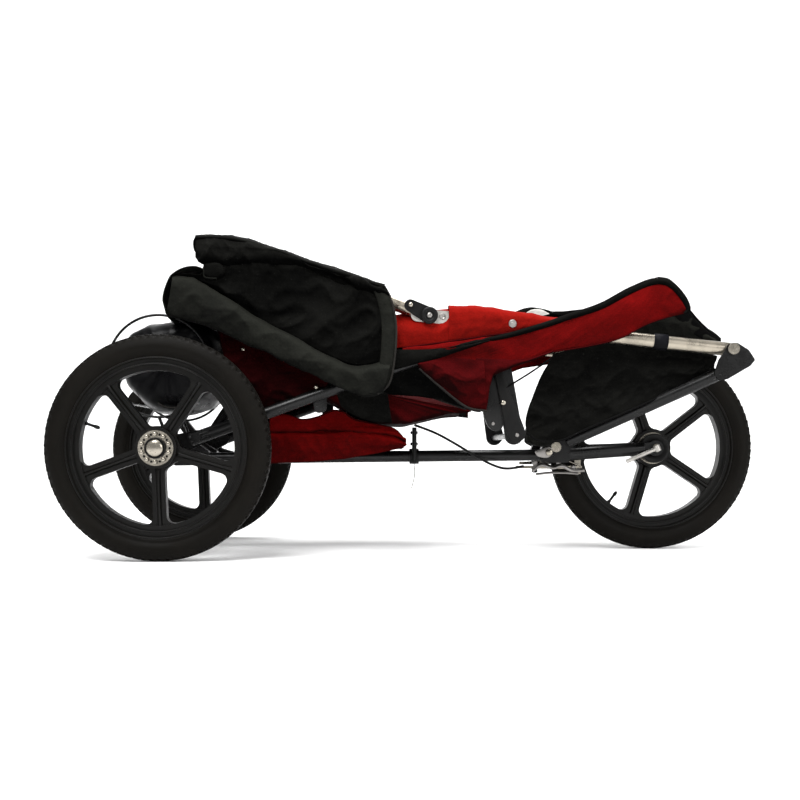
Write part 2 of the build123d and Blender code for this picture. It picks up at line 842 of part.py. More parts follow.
with BuildPart() as cargo_bag:
    side_plate(BAG_OUTLINE, -147, 147)
    side_plate(BAG_INSIDE, -143, 143, mode=Mode.SUBTRACT)
save(cargo_bag, "cargo_bag")

RING_CENTRE = (-487.3, 353.2)
RING_R = 95.0
RING_Y = 150.0

with BuildPart() as cargo_hoop:
    wire = 5.0
    for side in (1, -1):
        y = side * RING_Y
        wire_plane = Plane(origin=at(RING_CENTRE, y), x_dir=(1, 0, 0), z_dir=(0, 0, 1))
        with BuildSketch(wire_plane) as wire_ring:
            with Locations((RING_R, 0)):
                Circle(wire / 2)
        revolve(wire_ring.sketch, axis=Axis(at(RING_CENTRE, y), (0, 1, 0)))
        foot = at(REAR_AXLE, y)
        rod(at((RING_CENTRE[0], RING_CENTRE[1] - RING_R), y), foot, 6)
        cross_rod(REAR_AXLE, y - 8, y + 8, 34)
    for share in (-0.7071, 0.7071):
        tie = (RING_CENTRE[0] + share * RING_R, RING_CENTRE[1] - 0.7071 * RING_R)
        cross_rod(tie, -RING_Y, RING_Y, wire)
    cross_rod(REAR_AXLE, -200, 200, AXLE_TUBE_OD, Mode.SUBTRACT)
save(cargo_hoop, "cargo_hoop")
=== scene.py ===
import json
import math

import bpy
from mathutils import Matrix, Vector, noise


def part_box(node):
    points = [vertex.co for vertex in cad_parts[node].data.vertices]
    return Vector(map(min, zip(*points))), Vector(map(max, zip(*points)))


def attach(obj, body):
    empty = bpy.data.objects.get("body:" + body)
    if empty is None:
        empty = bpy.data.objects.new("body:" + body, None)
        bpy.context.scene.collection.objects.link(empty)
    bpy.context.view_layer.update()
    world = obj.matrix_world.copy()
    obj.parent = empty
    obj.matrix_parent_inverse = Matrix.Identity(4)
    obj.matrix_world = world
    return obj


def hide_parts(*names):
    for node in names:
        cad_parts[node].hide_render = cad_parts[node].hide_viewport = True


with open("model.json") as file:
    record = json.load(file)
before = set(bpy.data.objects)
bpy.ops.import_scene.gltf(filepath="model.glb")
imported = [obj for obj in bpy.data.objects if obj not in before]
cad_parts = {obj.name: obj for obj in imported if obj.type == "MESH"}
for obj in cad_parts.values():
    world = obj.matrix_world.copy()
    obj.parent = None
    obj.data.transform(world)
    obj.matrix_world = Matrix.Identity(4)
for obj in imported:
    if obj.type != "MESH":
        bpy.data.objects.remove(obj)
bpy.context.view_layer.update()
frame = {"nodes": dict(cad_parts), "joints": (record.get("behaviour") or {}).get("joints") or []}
NODES = frame["nodes"]
PIVOT = {j["name"]: Vector(j["pos_m"]) for j in frame["joints"]}

# Driving places, all from the frame.  X forward, Y to the rider's left, Z up.
WHEEL_R = PIVOT["front_spin"].z
TUBE_Y = sum(c.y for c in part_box("main_tube_left")) / 2
TUBE_R = (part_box("main_tube_left")[1].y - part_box("main_tube_left")[0].y) / 2
HEAD = PIVOT["frame_fold"]
HINGE = PIVOT["handlebar_tilt"]
MM = 0.001
SIDES = (1, "left"), (-1, "right")


# ------------------------------------------------------------------ materials
def new_material(name):
    """Empty node material and its Principled shader."""
    mat = bpy.data.materials.new(name)
    mat.use_nodes = True
    return mat, mat.node_tree, mat.node_tree.nodes["Principled BSDF"]


def coords(tree, scale=(1, 1, 1)):
    """Object coordinates, stretched by scale."""
    place = tree.nodes.new("ShaderNodeTexCoord")
    stretch = tree.nodes.new("ShaderNodeMapping")
    stretch.inputs["Scale"].default_value = scale
    tree.links.new(place.outputs["Object"], stretch.inputs["Vector"])
    return stretch.outputs["Vector"]


def noise_node(tree, vector, scale, detail=4, rough=0.55):
    node = tree.nodes.new("ShaderNodeTexNoise")
    node.inputs["Scale"].default_value = scale
    node.inputs["Detail"].default_value = detail
    node.inputs["Roughness"].default_value = rough
    tree.links.new(vector, node.inputs["Vector"])
    return node.outputs["Fac"]


def ramp(tree, value, stops):
    """Colour ramp from (position, colour) stops."""
    node = tree.nodes.new("ShaderNodeValToRGB")
    elements = node.color_ramp.elements
    while len(elements) < len(stops):
        elements.new(0.5)
    for element, (position, colour) in zip(elements, stops):
        element.position = position
        element.color = (*colour, 1)
    tree.links.new(value, node.inputs["Fac"])
    return node.outputs["Color"]


def math_node(tree, kind, a, b):
    node = tree.nodes.new("ShaderNodeMath")
    node.operation = kind
    for socket, value in zip(node.inputs, (a, b)):
        if isinstance(value, (int, float)):
            socket.default_value = value
        else:
            tree.links.new(value, socket)
    return node.outputs[0]


def bump(tree, shader, height, distance, strength=1.0, after=None):
    node = tree.nodes.new("ShaderNodeBump")
    node.inputs["Distance"].default_value = distance
    node.inputs["Strength"].default_value = strength
    tree.links.new(height, node.inputs["Height"])
    if after:
        tree.links.new(after.outputs["Normal"], node.inputs["Normal"])
    tree.links.new(node.outputs["Normal"], shader.inputs["Normal"])
    return node


def fabric(name, colour, thread=0.0011, rough=0.8, sheen=0.25, shade=0.35, gloss=0.12):
    """Plain-weave cloth: threads both ways, slubs, faded patches, and painted light: paler where it faces
    up, darker where it faces down.
    """
    mat, tree, shader = new_material(name)
    vector = coords(tree)
    weave = []
    for axis in ("X", "Z", "Y"):
        wave = tree.nodes.new("ShaderNodeTexWave")
        wave.bands_direction = axis
        wave.inputs["Scale"].default_value = 1 / thread / 20
        wave.inputs["Distortion"].default_value = 0.6
        wave.inputs["Detail"].default_value = 1
        tree.links.new(vector, wave.inputs["Vector"])
        weave.append(wave.outputs["Fac"])
    cloth = math_node(tree, "MULTIPLY", weave[0], weave[1])
    cloth = math_node(tree, "ADD", cloth, math_node(tree, "MULTIPLY", weave[2], 0.4))
    patches = noise_node(tree, vector, 9, 6, 0.65)
    slub = noise_node(tree, coords(tree, (1, 1, 6)), 160, 3)
    mixed = math_node(tree, "ADD", patches, math_node(tree, "MULTIPLY", slub, 0.35))
    dark = tuple(c * (1 - shade) for c in colour)
    light = tuple(c * (1 + 1.6 * shade) + 0.0004 for c in colour)
    # Painted light: the colour is pushed paler on faces turned up and darker on faces turned down, as if
    # lit from above.
    painted_light_normal = tree.nodes.new("ShaderNodeNewGeometry")
    split = tree.nodes.new("ShaderNodeSeparateXYZ")
    tree.links.new(painted_light_normal.outputs["Normal"], split.inputs["Vector"])
    mixed = math_node(tree, "ADD", mixed, math_node(tree, "MULTIPLY", split.outputs["Z"], 0.75))
    tone = ramp(tree, mixed, ((0.3, dark), (0.62, colour), (1.0, light)))
    tree.links.new(tone, shader.inputs["Base Color"])
    worn = ramp(tree, patches, ((0.3, (rough - 0.12,) * 3), (0.75, (rough + 0.08,) * 3)))
    tree.links.new(worn, shader.inputs["Roughness"])
    shader.inputs["Sheen Weight"].default_value = sheen
    shader.inputs["Sheen Roughness"].default_value = 0.4
    shader.inputs["Sheen Tint"].default_value = (*tuple(min(1, c * 2 + 0.1) for c in colour), 1)
    shader.inputs["Specular IOR Level"].default_value = gloss
    soft = bump(tree, shader, noise_node(tree, vector, 42, 5, 0.6), 0.0016, 0.7)
    bump(tree, shader, cloth, 0.0004, 0.8, soft)
    return mat


def painted(name, colour, rough, gloss):
    """Powder coat or coated nylon with orange peel and rubbed patches."""
    mat, tree, shader = new_material(name)
    vector = coords(tree)
    wear = noise_node(tree, vector, 18, 8, 0.7)
    light = tuple(c + 0.002 for c in colour)
    tone = ramp(tree, wear, ((0.45, colour), (0.8, light)))
    tree.links.new(tone, shader.inputs["Base Color"])
    rub = ramp(tree, wear, ((0.3, (rough - 0.08,) * 3), (0.75, (rough + 0.18,) * 3)))
    tree.links.new(rub, shader.inputs["Roughness"])
    shader.inputs["Specular IOR Level"].default_value = gloss
    bump(tree, shader, noise_node(tree, vector, 900, 2), 0.00008, 0.5)
    return mat


def metal(name, colour, rough=0.3, grain=(1, 1, 1)):
    """Bare metal with fine drawn lines, scuffs and dull spots."""
    mat, tree, shader = new_material(name)
    shader.inputs["Metallic"].default_value = 1.0
    vector = coords(tree, grain)
    lines = noise_node(tree, vector, 420, 3)
    spots = noise_node(tree, coords(tree), 30, 6, 0.7)
    dull = tuple(c * 0.72 for c in colour)
    tree.links.new(ramp(tree, spots, ((0.35, dull), (0.6, colour))), shader.inputs["Base Color"])
    both = math_node(
        tree, "ADD", math_node(tree, "MULTIPLY", lines, 0.5), math_node(tree, "MULTIPLY", spots, 0.5),
    )
    finish = ramp(tree, both, ((0.3, (rough - 0.1,) * 3), (0.7, (rough + 0.15,) * 3)))
    tree.links.new(finish, shader.inputs["Roughness"])
    bump(tree, shader, lines, 0.00006, 0.6)
    return mat


def moulded(name, colour, rough=0.45, dust=(0.06, 0.05, 0.04), amount=0.5, gloss=0.5):
    """Moulded plastic or rubber with a pebbled skin and settled dust."""
    mat, tree, shader = new_material(name)
    vector = coords(tree)
    patches = noise_node(tree, vector, 14, 7, 0.7)
    dusty = tuple(c + amount * d for c, d in zip(colour, dust))
    tone = ramp(tree, patches, ((0.42, colour), (0.85, dusty)))
    tree.links.new(tone, shader.inputs["Base Color"])
    finish = ramp(tree, patches, ((0.3, (rough - 0.07,) * 3), (0.8, (rough + 0.2,) * 3)))
    tree.links.new(finish, shader.inputs["Roughness"])
    shader.inputs["Specular IOR Level"].default_value = gloss
    first = bump(tree, shader, noise_node(tree, vector, 1500, 2), 0.0001, 0.5)
    bump(tree, shader, noise_node(tree, vector, 60, 3), 0.0004, 0.25, first)
    return mat


# Lit copy of the red canvas: painted light for the sleeves on top of the main tubes.
RED_LIT = fabric("red_canvas_lit", (0.095, 0.0022, 0.0012), sheen=0.0, shade=0.55, gloss=0.02)
RED = fabric("red_canvas", (0.056, 0.0008, 0.0008), sheen=0.0, shade=0.6, gloss=0.02)
# Shaded copy of the red canvas: painted shade for cloth that hangs below and between parts.
RED_SHADED = fabric("red_canvas_shaded", (0.019, 0.0004, 0.0006), sheen=0.0, shade=0.75, gloss=0.02)
# Near-black copy of the red: painted deep shade for the seat cloth behind the rear wheel.
RED_DEEP_SHADE = fabric("red_canvas_deep_shade", (0.005, 0.0002, 0.0003), sheen=0.0, shade=0.8, gloss=0.01)
BLACK = fabric("black_canvas", (0.0016, 0.0016, 0.0014), sheen=0.0, shade=0.9, gloss=0.02)
# Lit copy of the black canvas: painted light for cloth that faces up.
BLACK_LIT = fabric("black_canvas_lit", (0.005, 0.0052, 0.0042), sheen=0.0, shade=0.7, gloss=0.04)
MESH = fabric("grey_mesh", (0.0016, 0.0016, 0.0016), thread=0.0022, rough=0.8, sheen=0.0, gloss=0.02)
LINING = fabric("pale_lining", (0.36, 0.35, 0.33), thread=0.0016, rough=0.85)
PIPING = fabric(
    "black_binding", (0.0018, 0.0018, 0.0018), thread=0.0008, rough=0.6, sheen=0.0, gloss=0.03,
)
GREY_PIPING = fabric(
    "grey_binding", (0.011, 0.01, 0.009), thread=0.0008, rough=0.65, sheen=0.0, gloss=0.05,
)
WEBBING = fabric("black_webbing", (0.002, 0.002, 0.003), thread=0.002, rough=0.55, sheen=0.0, gloss=0.05)
PAINT = painted("black_powder_coat", (0.0014, 0.0014, 0.0014), rough=0.26, gloss=0.2)
NYLON = painted("black_nylon", (0.0015, 0.0015, 0.0018), rough=0.3, gloss=0.07)
SILVER = metal("drawn_aluminium", (0.30, 0.27, 0.22), 0.26, (1, 1, 14))
PLATE = metal("pressed_aluminium", (0.4, 0.385, 0.36), 0.38)
CHROME = metal("plated_steel", (0.31, 0.285, 0.24), 0.2)
LEVER = metal("dark_zinc", (0.22, 0.21, 0.2), 0.35)
RIM = moulded("black_nylon_wheel", (0.0012, 0.0011, 0.0008), 0.36, amount=0.03, gloss=0.13)
RUBBER = moulded("tyre_rubber", (0.0022, 0.0018, 0.0012), 0.55, amount=0.05, gloss=0.06)
PLASTIC = moulded("black_plastic", (0.0016, 0.0016, 0.0016), 0.42, amount=0.03, gloss=0.13)
FOAM = moulded("foam_rubber", (0.012, 0.009, 0.008), 0.85, amount=0.2, gloss=0.15)

NODE_LOOKS = {
    PAINT: (
        "lower_rail_left", "lower_rail_right", "fork_blade_left", "fork_blade_right",
        "fork_lug_left", "fork_lug_right", "axle_lug_left", "axle_lug_right",
        "strut_bracket_left", "strut_bracket_right", "caliper_bridge", "front_link_left",
        "front_link_right", "seat_hanger", "canopy_bow", "back_cross_tube",
        "seat_cross_tube", "rear_strut_left", "rear_strut_right", "rear_axle",
        "cargo_hoop",
    ),
    SILVER: ("main_tube_left", "main_tube_right", "handlebar_tube"),
    PLATE: ("hinge_plate_left", "hinge_plate_right", "qr_lever"),
    CHROME: (
        "link_bolt_left", "link_bolt_right", "head_bolt_left", "head_bolt_right",
        "front_axle", "rear_left_hub", "rear_right_hub", "front_hub",
        "caliper_arm_left", "caliper_arm_right", "brake_lever",
    ),
    RIM: ("rear_left_wheel", "rear_right_wheel", "front_wheel"),
    PLASTIC: ("brake_mount", "cable_guide", "brake_cable", "hinge_lever_left", "hinge_lever_right"),
    FOAM: ("foam_grip",),
}
for look, names in NODE_LOOKS.items():
    for name in names:
        node = NODES[name]
        node.data.materials.clear()
        node.data.materials.append(look)


# --------------------------------------------------------------- mesh helpers
def quads(rows, count, ring=False):
    """Faces of a skin through rows of count points, each row closed on itself.

    ring joins the last row to the first.
    """
    faces = []
    for i in range(rows if ring else rows - 1):
        a, b = i * count, (i + 1) % rows * count
        for k in range(count):
            after = (k + 1) % count
            faces.append((a + k, a + after, b + after, b + k))
    return faces


def circle(sides):
    """Cosine and sine of evenly spaced angles, once round."""
    angles = [2 * math.pi * k / sides for k in range(sides)]
    return [(math.cos(angle), math.sin(angle)) for angle in angles]


def make(name, verts, faces, material, body=None, smooth=True):
    """Mesh object from plain lists, riding on a body, in its material's slot."""
    mesh = bpy.data.meshes.new(name)
    mesh.from_pydata([tuple(v) for v in verts], [], faces)
    mesh.validate()
    mesh.update()
    if smooth:
        mesh.polygons.foreach_set("use_smooth", [True] * len(mesh.polygons))
    mesh.materials.append(material)
    obj = bpy.data.objects.new(name, mesh)
    bpy.context.scene.collection.objects.link(obj)
    if body:
        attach(obj, body)
    return obj


def apply_modifiers(obj):
    """Turn the piece's modifiers into plain mesh."""
    depsgraph = bpy.context.evaluated_depsgraph_get()
    done = bpy.data.meshes.new_from_object(obj.evaluated_get(depsgraph))
    obj.modifiers.clear()
    obj.data = done


def rounded(obj, levels):
    """Subdivision that rounds a piece off."""
    smooth = obj.modifiers.new("smooth", "SUBSURF")
    smooth.levels = levels
    smooth.render_levels = levels


def thicken(obj, thickness, levels):
    """Give a skin its thickness and round it off."""
    shell = obj.modifiers.new("shell", "SOLIDIFY")
    shell.thickness = thickness
    shell.offset = 0.0
    if levels:
        rounded(obj, levels)
    apply_modifiers(obj)


def spline_at(points, share):
    """Point on a smooth curve through the points, share from 0 to 1."""
    count = len(points) - 1
    place = min(max(share, 0.0), 1.0) * count
    i = min(int(place), count - 1)
    t = place - i
    p1, p2 = Vector(points[i]), Vector(points[i + 1])
    p0 = Vector(points[i - 1]) if i else p1 * 2 - p2
    p3 = Vector(points[i + 2]) if i + 2 <= count else p2 * 2 - p1
    return 0.5 * (
        2 * p1
        + (p2 - p0) * t
        + (2 * p0 - 5 * p1 + 4 * p2 - p3) * t * t
        + (3 * p1 - p0 - 3 * p2 + p3) * t * t * t
    )


def wrinkle(point, size, depth, seed):
    """Creases: folded noise, sharper on the ridge than in the hollow.

    size is in metres and depth in millimetres.
    """
    shifted = Vector(point) * (1 / size) + Vector((seed, seed * 0.7, -seed))
    return depth * MM * (1 - 2 * abs(noise.noise(shifted)) ** 0.7)


def patch(name, rails, nu, nv, material, body, crown=None, crease=(), thick=2 * MM, levels=0):
    """Cloth skin through two or more smooth rails.

    crown(v) gives an offset along Y, towards the near side when negative.
    crease lists (size, depth, seed) noise folds.
    """
    verts = []
    for j in range(nv + 1):
        v = j / nv
        for i in range(nu + 1):
            u = i / nu
            across = [spline_at(rail, u) for rail in rails]
            verts.append(spline_at(across, v))
    grid = [[j * (nu + 1) + i for i in range(nu + 1)] for j in range(nv + 1)]
    faces = [
        (grid[j][i], grid[j][i + 1], grid[j + 1][i + 1], grid[j + 1][i])
        for j in range(nv)
        for i in range(nu)
    ]
    moved = []
    for j in range(nv + 1):
        for i in range(nu + 1):
            u, v = i / nu, j / nv
            point = verts[grid[j][i]]
            right = verts[grid[j][min(i + 1, nu)]] - verts[grid[j][max(i - 1, 0)]]
            up = verts[grid[min(j + 1, nv)][i]] - verts[grid[max(j - 1, 0)][i]]
            normal = right.cross(up)
            normal = normal.normalized() if normal.length > 1e-12 else Vector((0, -1, 0))
            edge = min(1, 5 * min(v, 1 - v) + 0.25)
            lift = sum(wrinkle(point, size, depth, seed) for size, depth, seed in crease)
            out = point + normal * lift * edge
            if crown:
                out.y += crown(v)
            moved.append(out)
    obj = make(name, moved, faces, material)
    thicken(obj, thick, levels)
    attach(obj, body)
    return obj


def bulge(depth):
    """Crown that is deepest half way between the rails."""
    return lambda v: depth * math.sin(math.pi * v)


def mm(*pairs):
    """Pairs given in millimetres."""
    return [(a * MM, b * MM) for a, b in pairs]


def tube(name, points, radius, material, body, sides=12, steps=8, flat=1.0):
    """Round or oval cord along a smooth curve through the points."""
    count = steps * (len(points) - 1)
    line = [spline_at(points, i / count) for i in range(count + 1)]
    verts = []
    normal = None
    total = len(line)
    for i, point in enumerate(line):
        ahead = line[i + 1] if i + 1 < total else point
        behind = line[i - 1] if i else point
        tangent = (ahead - behind).normalized()
        if normal is None:
            normal = tangent.orthogonal().normalized()
        normal = (normal - tangent * normal.dot(tangent)).normalized()
        side = tangent.cross(normal)
        for cosine, sine in circle(sides):
            verts.append(point + normal * cosine * radius + side * sine * radius * flat)
    faces = quads(total, sides)
    faces.append(tuple(reversed(range(sides))))
    faces.append(tuple(range((total - 1) * sides, total * sides)))
    return make(name, verts, faces, material, body)


def turned(name, centre, axis, profile, material, body, sides=48, smooth=True):
    """Piece turned about an axis from (distance along it, radius) points."""
    axis = Vector(axis).normalized()
    across = axis.orthogonal().normalized()
    other = axis.cross(across)
    verts = []
    for along, radius in profile:
        for cosine, sine in circle(sides):
            ray = across * cosine + other * sine
            verts.append(Vector(centre) + axis * along + ray * max(radius, 1e-5))
    faces = [(a, d, c, b) for a, b, c, d in quads(len(profile), sides)]
    faces.append(tuple(range(sides)))
    faces.append(tuple(reversed(range((len(profile) - 1) * sides, len(profile) * sides))))
    return make(name, verts, faces, material, body, smooth)


def bolt_head(name, centre, side, radius, height, body, material=CHROME):
    """Domed cap of a bolt or rivet, facing along Y."""
    profile = [
        (0, radius), (height * 0.45, radius * 0.98), (height * 0.8, radius * 0.75),
        (height, radius * 0.35),
    ]
    return turned(name, centre, (0, side, 0), profile, material, body, 32)


def blob(name, sections, material, body, crease):
    """Closed stuffed form lofted through loops of points."""
    loops = len(sections)
    count = len(sections[0])
    verts = [Vector(p) for loop in sections for p in loop]
    centre = sum(verts, Vector()) / len(verts)
    moved = []
    for v in verts:
        out = (v - centre).normalized()
        moved.append(v + out * sum(wrinkle(v, size, depth, seed) for size, depth, seed in crease))
    faces = quads(loops, count)
    for s, flip in ((0, True), (loops - 1, False)):
        ring = list(range(s * count, (s + 1) * count))
        middle = len(moved)
        moved.append(sum((moved[r] for r in ring), Vector()) / count)
        for k in range(count):
            tri = (ring[k], ring[(k + 1) % count], middle)
            faces.append(tuple(reversed(tri)) if flip else tri)
    obj = make(name, moved, faces, material)
    rounded(obj, 1)
    apply_modifiers(obj)
    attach(obj, body)
    return obj


def loop_points(outline, count, y, shrink=0.0):
    """Closed smooth loop through (X, Z) points at one Y, pulled in by shrink."""
    closed = [*outline, outline[0]]
    flat = [Vector((p[0], 0, p[1])) for p in closed]
    middle = sum(flat[:-1], Vector()) / len(outline)
    ring = []
    for i in range(count):
        point = spline_at(flat, i / count)
        away = point - middle
        ring.append(Vector((point.x, y, point.z)) - away.normalized() * shrink)
    return ring


# --------------------------------------------------------------------- wheels
TYRE_HALF = (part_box("front_tyre")[1].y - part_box("front_tyre")[0].y) / 2
RIM_R = (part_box("front_wheel")[1].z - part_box("front_wheel")[0].z) / 2
RIM_HALF = (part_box("front_wheel")[1].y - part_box("front_wheel")[0].y) / 2
SPOKES = 5
SPOKE_FACE_Y = 11 * MM
BEAD, WALL, SHOULDER, CROWN = range(4)
TREAD_BLOCKS = 84
TREAD_STEPS = 6
SHOULDER_GAP, SHOULDER_DEPTH = 0.34, 3.2 * MM
CROWN_GAP, CROWN_DEPTH = 0.2, 1.6 * MM
WALL_RING = 0.5 * MM


def tyre_profile():
    """Half section of the tyre, bead to crown: distance from the middle plane, radius, role."""
    bead = RIM_R - 4 * MM
    rows = [(14 * MM, bead, BEAD), (RIM_HALF - 7 * MM, RIM_R - 1 * MM, BEAD)]
    wall = WHEEL_R - RIM_R
    for i in range(9):
        angle = math.radians(-52 + 13.5 * i)
        rows.append((
            TYRE_HALF - 11 * MM + 11 * MM * math.cos(angle),
            RIM_R + wall * 0.47 + wall * 0.42 * math.sin(angle),
            WALL,
        ))
    for share, drop, role in (
        (0.70, 3.0, SHOULDER), (0.66, 2.1, SHOULDER), (0.42, 1.0, SHOULDER),
        (0.38, 0.9, CROWN), (0.12, 0.1, CROWN), (0.0, 0.0, CROWN),
    ):
        rows.append((TYRE_HALF * share, WHEEL_R - drop * MM, role))
    return rows


def tyre(name, centre, body):
    """Tyre with moulded rings on its walls and staggered tread blocks."""
    half = tyre_profile()
    rows = [(-y, r, role) for y, r, role in half] + half[-2::-1]
    around = TREAD_BLOCKS * TREAD_STEPS
    verts = []
    for i in range(around):
        phase = (i % TREAD_STEPS) / TREAD_STEPS
        angle = 2 * math.pi * i / around
        for k, (y, r, role) in enumerate(rows):
            shift = 0.5 if y > 0 else 0.0
            if role == SHOULDER and (phase + shift) % 1.0 < SHOULDER_GAP:
                r -= SHOULDER_DEPTH
            if role == CROWN and (phase + shift + 0.25) % 1.0 < CROWN_GAP:
                r -= CROWN_DEPTH
            if role == WALL and k in (5, 6, len(rows) - 7, len(rows) - 6):
                y += math.copysign(WALL_RING, y)
            verts.append(Vector(centre) + Vector((r * math.cos(angle), y, r * math.sin(angle))))
    obj = make(name, verts, quads(around, len(rows), ring=True), RUBBER, body)
    edges = obj.modifiers.new("edges", "EDGE_SPLIT")
    edges.split_angle = math.radians(38)
    apply_modifiers(obj)
    return obj


def ring_bead(name, centre, radius, y, thick, body):
    """Moulded ring on the rim face."""
    profile = [
        (y, radius - thick), (y + math.copysign(thick * 0.7, y), radius - thick * 0.5),
        (y + math.copysign(thick * 0.7, y), radius + thick * 0.5), (y, radius + thick),
    ]
    if y < 0:
        profile = profile[::-1]
    sides = 160
    verts = [
        Vector(centre) + Vector((r * cosine, along, r * sine))
        for along, r in profile
        for cosine, sine in circle(sides)
    ]
    make(name, verts, quads(len(profile), sides, ring=True), RIM, body)


def spoke_ridge(name, centre, angle, side, body):
    """Raised spine down the middle of one face of a spoke, flaring at both ends."""
    out = Vector((math.cos(angle), 0, math.sin(angle)))
    across = Vector((-math.sin(angle), 0, math.cos(angle)))
    spoke_y = SPOKE_FACE_Y * side
    verts = []
    stations = [
        (0.215, 5.0, 2.4), (0.26, 3.6, 4.2), (0.40, 2.9, 4.6), (0.65, 2.7, 4.6),
        (0.83, 3.2, 4.4), (0.875, 5.2, 2.2),
    ]
    for share, half, high in stations:
        base = Vector(centre) + out * share * RIM_R
        for offset, lift in (
            (-half - 1.6, -0.6), (-half * 0.5, high), (half * 0.5, high), (half + 1.6, -0.6),
        ):
            verts.append(base + across * offset * MM + Vector((0, spoke_y + side * lift * MM, 0)))
    faces = quads(len(stations), 4)
    faces += [(3, 2, 1, 0), tuple(range(len(verts) - 4, len(verts)))]
    obj = make(name, verts, faces, RIM)
    bevel = obj.modifiers.new("bevel", "BEVEL")
    bevel.width = 0.7 * MM
    bevel.segments = 2
    apply_modifiers(obj)
    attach(obj, body)
    return obj


def valve(name, centre, angle, body):
    """Valve stem with its cap, standing in from the rim."""
    inward = Vector((-math.cos(angle), 0, -math.sin(angle)))
    start = Vector(centre) - inward * (RIM_R - 25 * MM)
    profile = mm((0, 3.6), (3, 3.6), (4, 2.6), (17, 2.5), (17.5, 3.5), (24, 3.4), (26.5, 2.2), (27, 0.6))
    return turned(name, start, inward, profile, PLASTIC, body, 20)


WHEELS = {
    "rear_left": (PIVOT["rear_left_spin"], "rear_left_wheel", 56, 161),
    "rear_right": (PIVOT["rear_right_spin"], "rear_right_wheel", 56, 161),
    "front": (PIVOT["front_spin"], "front_wheel", 38, 233),
}

for key, (centre, body, first_spoke, valve_angle) in WHEELS.items():
    rubber = tyre(f"{key}_tyre_tread", centre, body)
    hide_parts(f"{key}_tyre")
    for side, word in ((1, "inner"), (-1, "outer")):
        for i in range(SPOKES):
            spoke_ridge(
                f"{key}_spoke_ridge_{word}_{i}", centre,
                math.radians(first_spoke + i * 360 / SPOKES), side, body,
            )
        ring_bead(
            f"{key}_rim_step_{word}", centre, RIM_R - 13 * MM, side * (RIM_HALF - 3 * MM), 1.6 * MM, body,
        )
        ring_bead(
            f"{key}_rim_lip_{word}", centre, RIM_R - 2.2 * MM, side * (RIM_HALF - 0.8 * MM), 1.5 * MM,
            body,
        )
    valve(f"{key}_valve", centre, math.radians(valve_angle), body)


def rear_hub_face(key, side):
    """Riveted flange, dark recess and domed cap on a rear hub's outer face."""
    centre, body = WHEELS[key][0], WHEELS[key][1]
    lo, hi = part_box(f"{key}_hub")
    face = hi.y if side > 0 else lo.y
    spot = Vector((centre.x, face, centre.z))
    turned(
        f"{key}_hub_recess", spot, (0, side, 0),
        mm((-0.4, 18.5), (0.25, 18.4), (0.3, 15.6), (-0.4, 15.5)),
        PLASTIC, body, 48,
    )
    turned(
        f"{key}_hub_cap", spot, (0, side, 0),
        mm((0.0, 15.2), (1.6, 15.0), (3.4, 13.6), (4.8, 10.5), (5.6, 6.0), (5.9, 1.0)),
        CHROME, body, 48,
    )
    for i in range(10):
        angle = 2 * math.pi * (i + 0.5) / 10
        at = spot + Vector((math.cos(angle), 0, math.sin(angle))) * 24.5 * MM
        bolt_head(f"{key}_rivet_{i}", at, side, 3.4 * MM, 1.8 * MM, body)


rear_hub_face("rear_left", 1)
rear_hub_face("rear_right", -1)

for side, word in SIDES:
    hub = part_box("front_hub")
    axle = PIVOT["front_spin"]
    face = Vector((axle.x, hub[1].y if side > 0 else hub[0].y, axle.z))
    turned(
        f"front_hub_rim_{word}", face, (0, side, 0),
        mm((-1, 29), (1.0, 28.6), (1.2, 24), (0.2, 22.5), (0.2, 12), (-1, 11)),
        PLASTIC, "front_wheel", 64,
    )


# ---------------------------------------------------------- seat wings, sides
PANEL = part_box("side_panel_left")
PANEL_Y = max(PANEL[1].y - 2 * MM, (PANEL[0].y + PANEL[1].y) / 2)


def on_side(side, y, outline):
    """Points of a side view outline, put at one distance from the middle plane."""
    return [Vector((x, side * y, z)) for x, z in outline]


def tube_z(x):
    """Height of the main tube's axis at X."""
    share = (x - HINGE.x) / (HEAD.x - HINGE.x)
    return HINGE.z + share * (HEAD.z - HINGE.z)


SEAM = (
    (-0.034, 0.381), (0.05, 0.3925), (0.107, 0.401), (0.18, 0.412), (0.253, 0.428),
    (0.32, 0.4555), (0.372, 0.48), (0.405, 0.4965), (0.425, 0.507),
)
SEAM_TOP = (0.4265, 0.5065), (0.446, 0.503), (0.4595, 0.4905), (0.473, 0.4725), (0.485, 0.4536)
STRIP_LOW = (
    (-0.034, 0.372), (0.0165, 0.365), (0.062, 0.362), (0.107, 0.356), (0.18, 0.352),
    (0.238, 0.374), (0.307, 0.385), (0.3615, 0.399), (0.407, 0.423), (0.45, 0.4375), (0.481, 0.4446),
)
HINGE_INNER = min(abs(c.y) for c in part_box("hinge_plate_left")) - 1 * MM
CREASES = ((0.075, 2.6, 3.1), (0.028, 1.1, 8.4), (0.009, 0.22, 5.7))


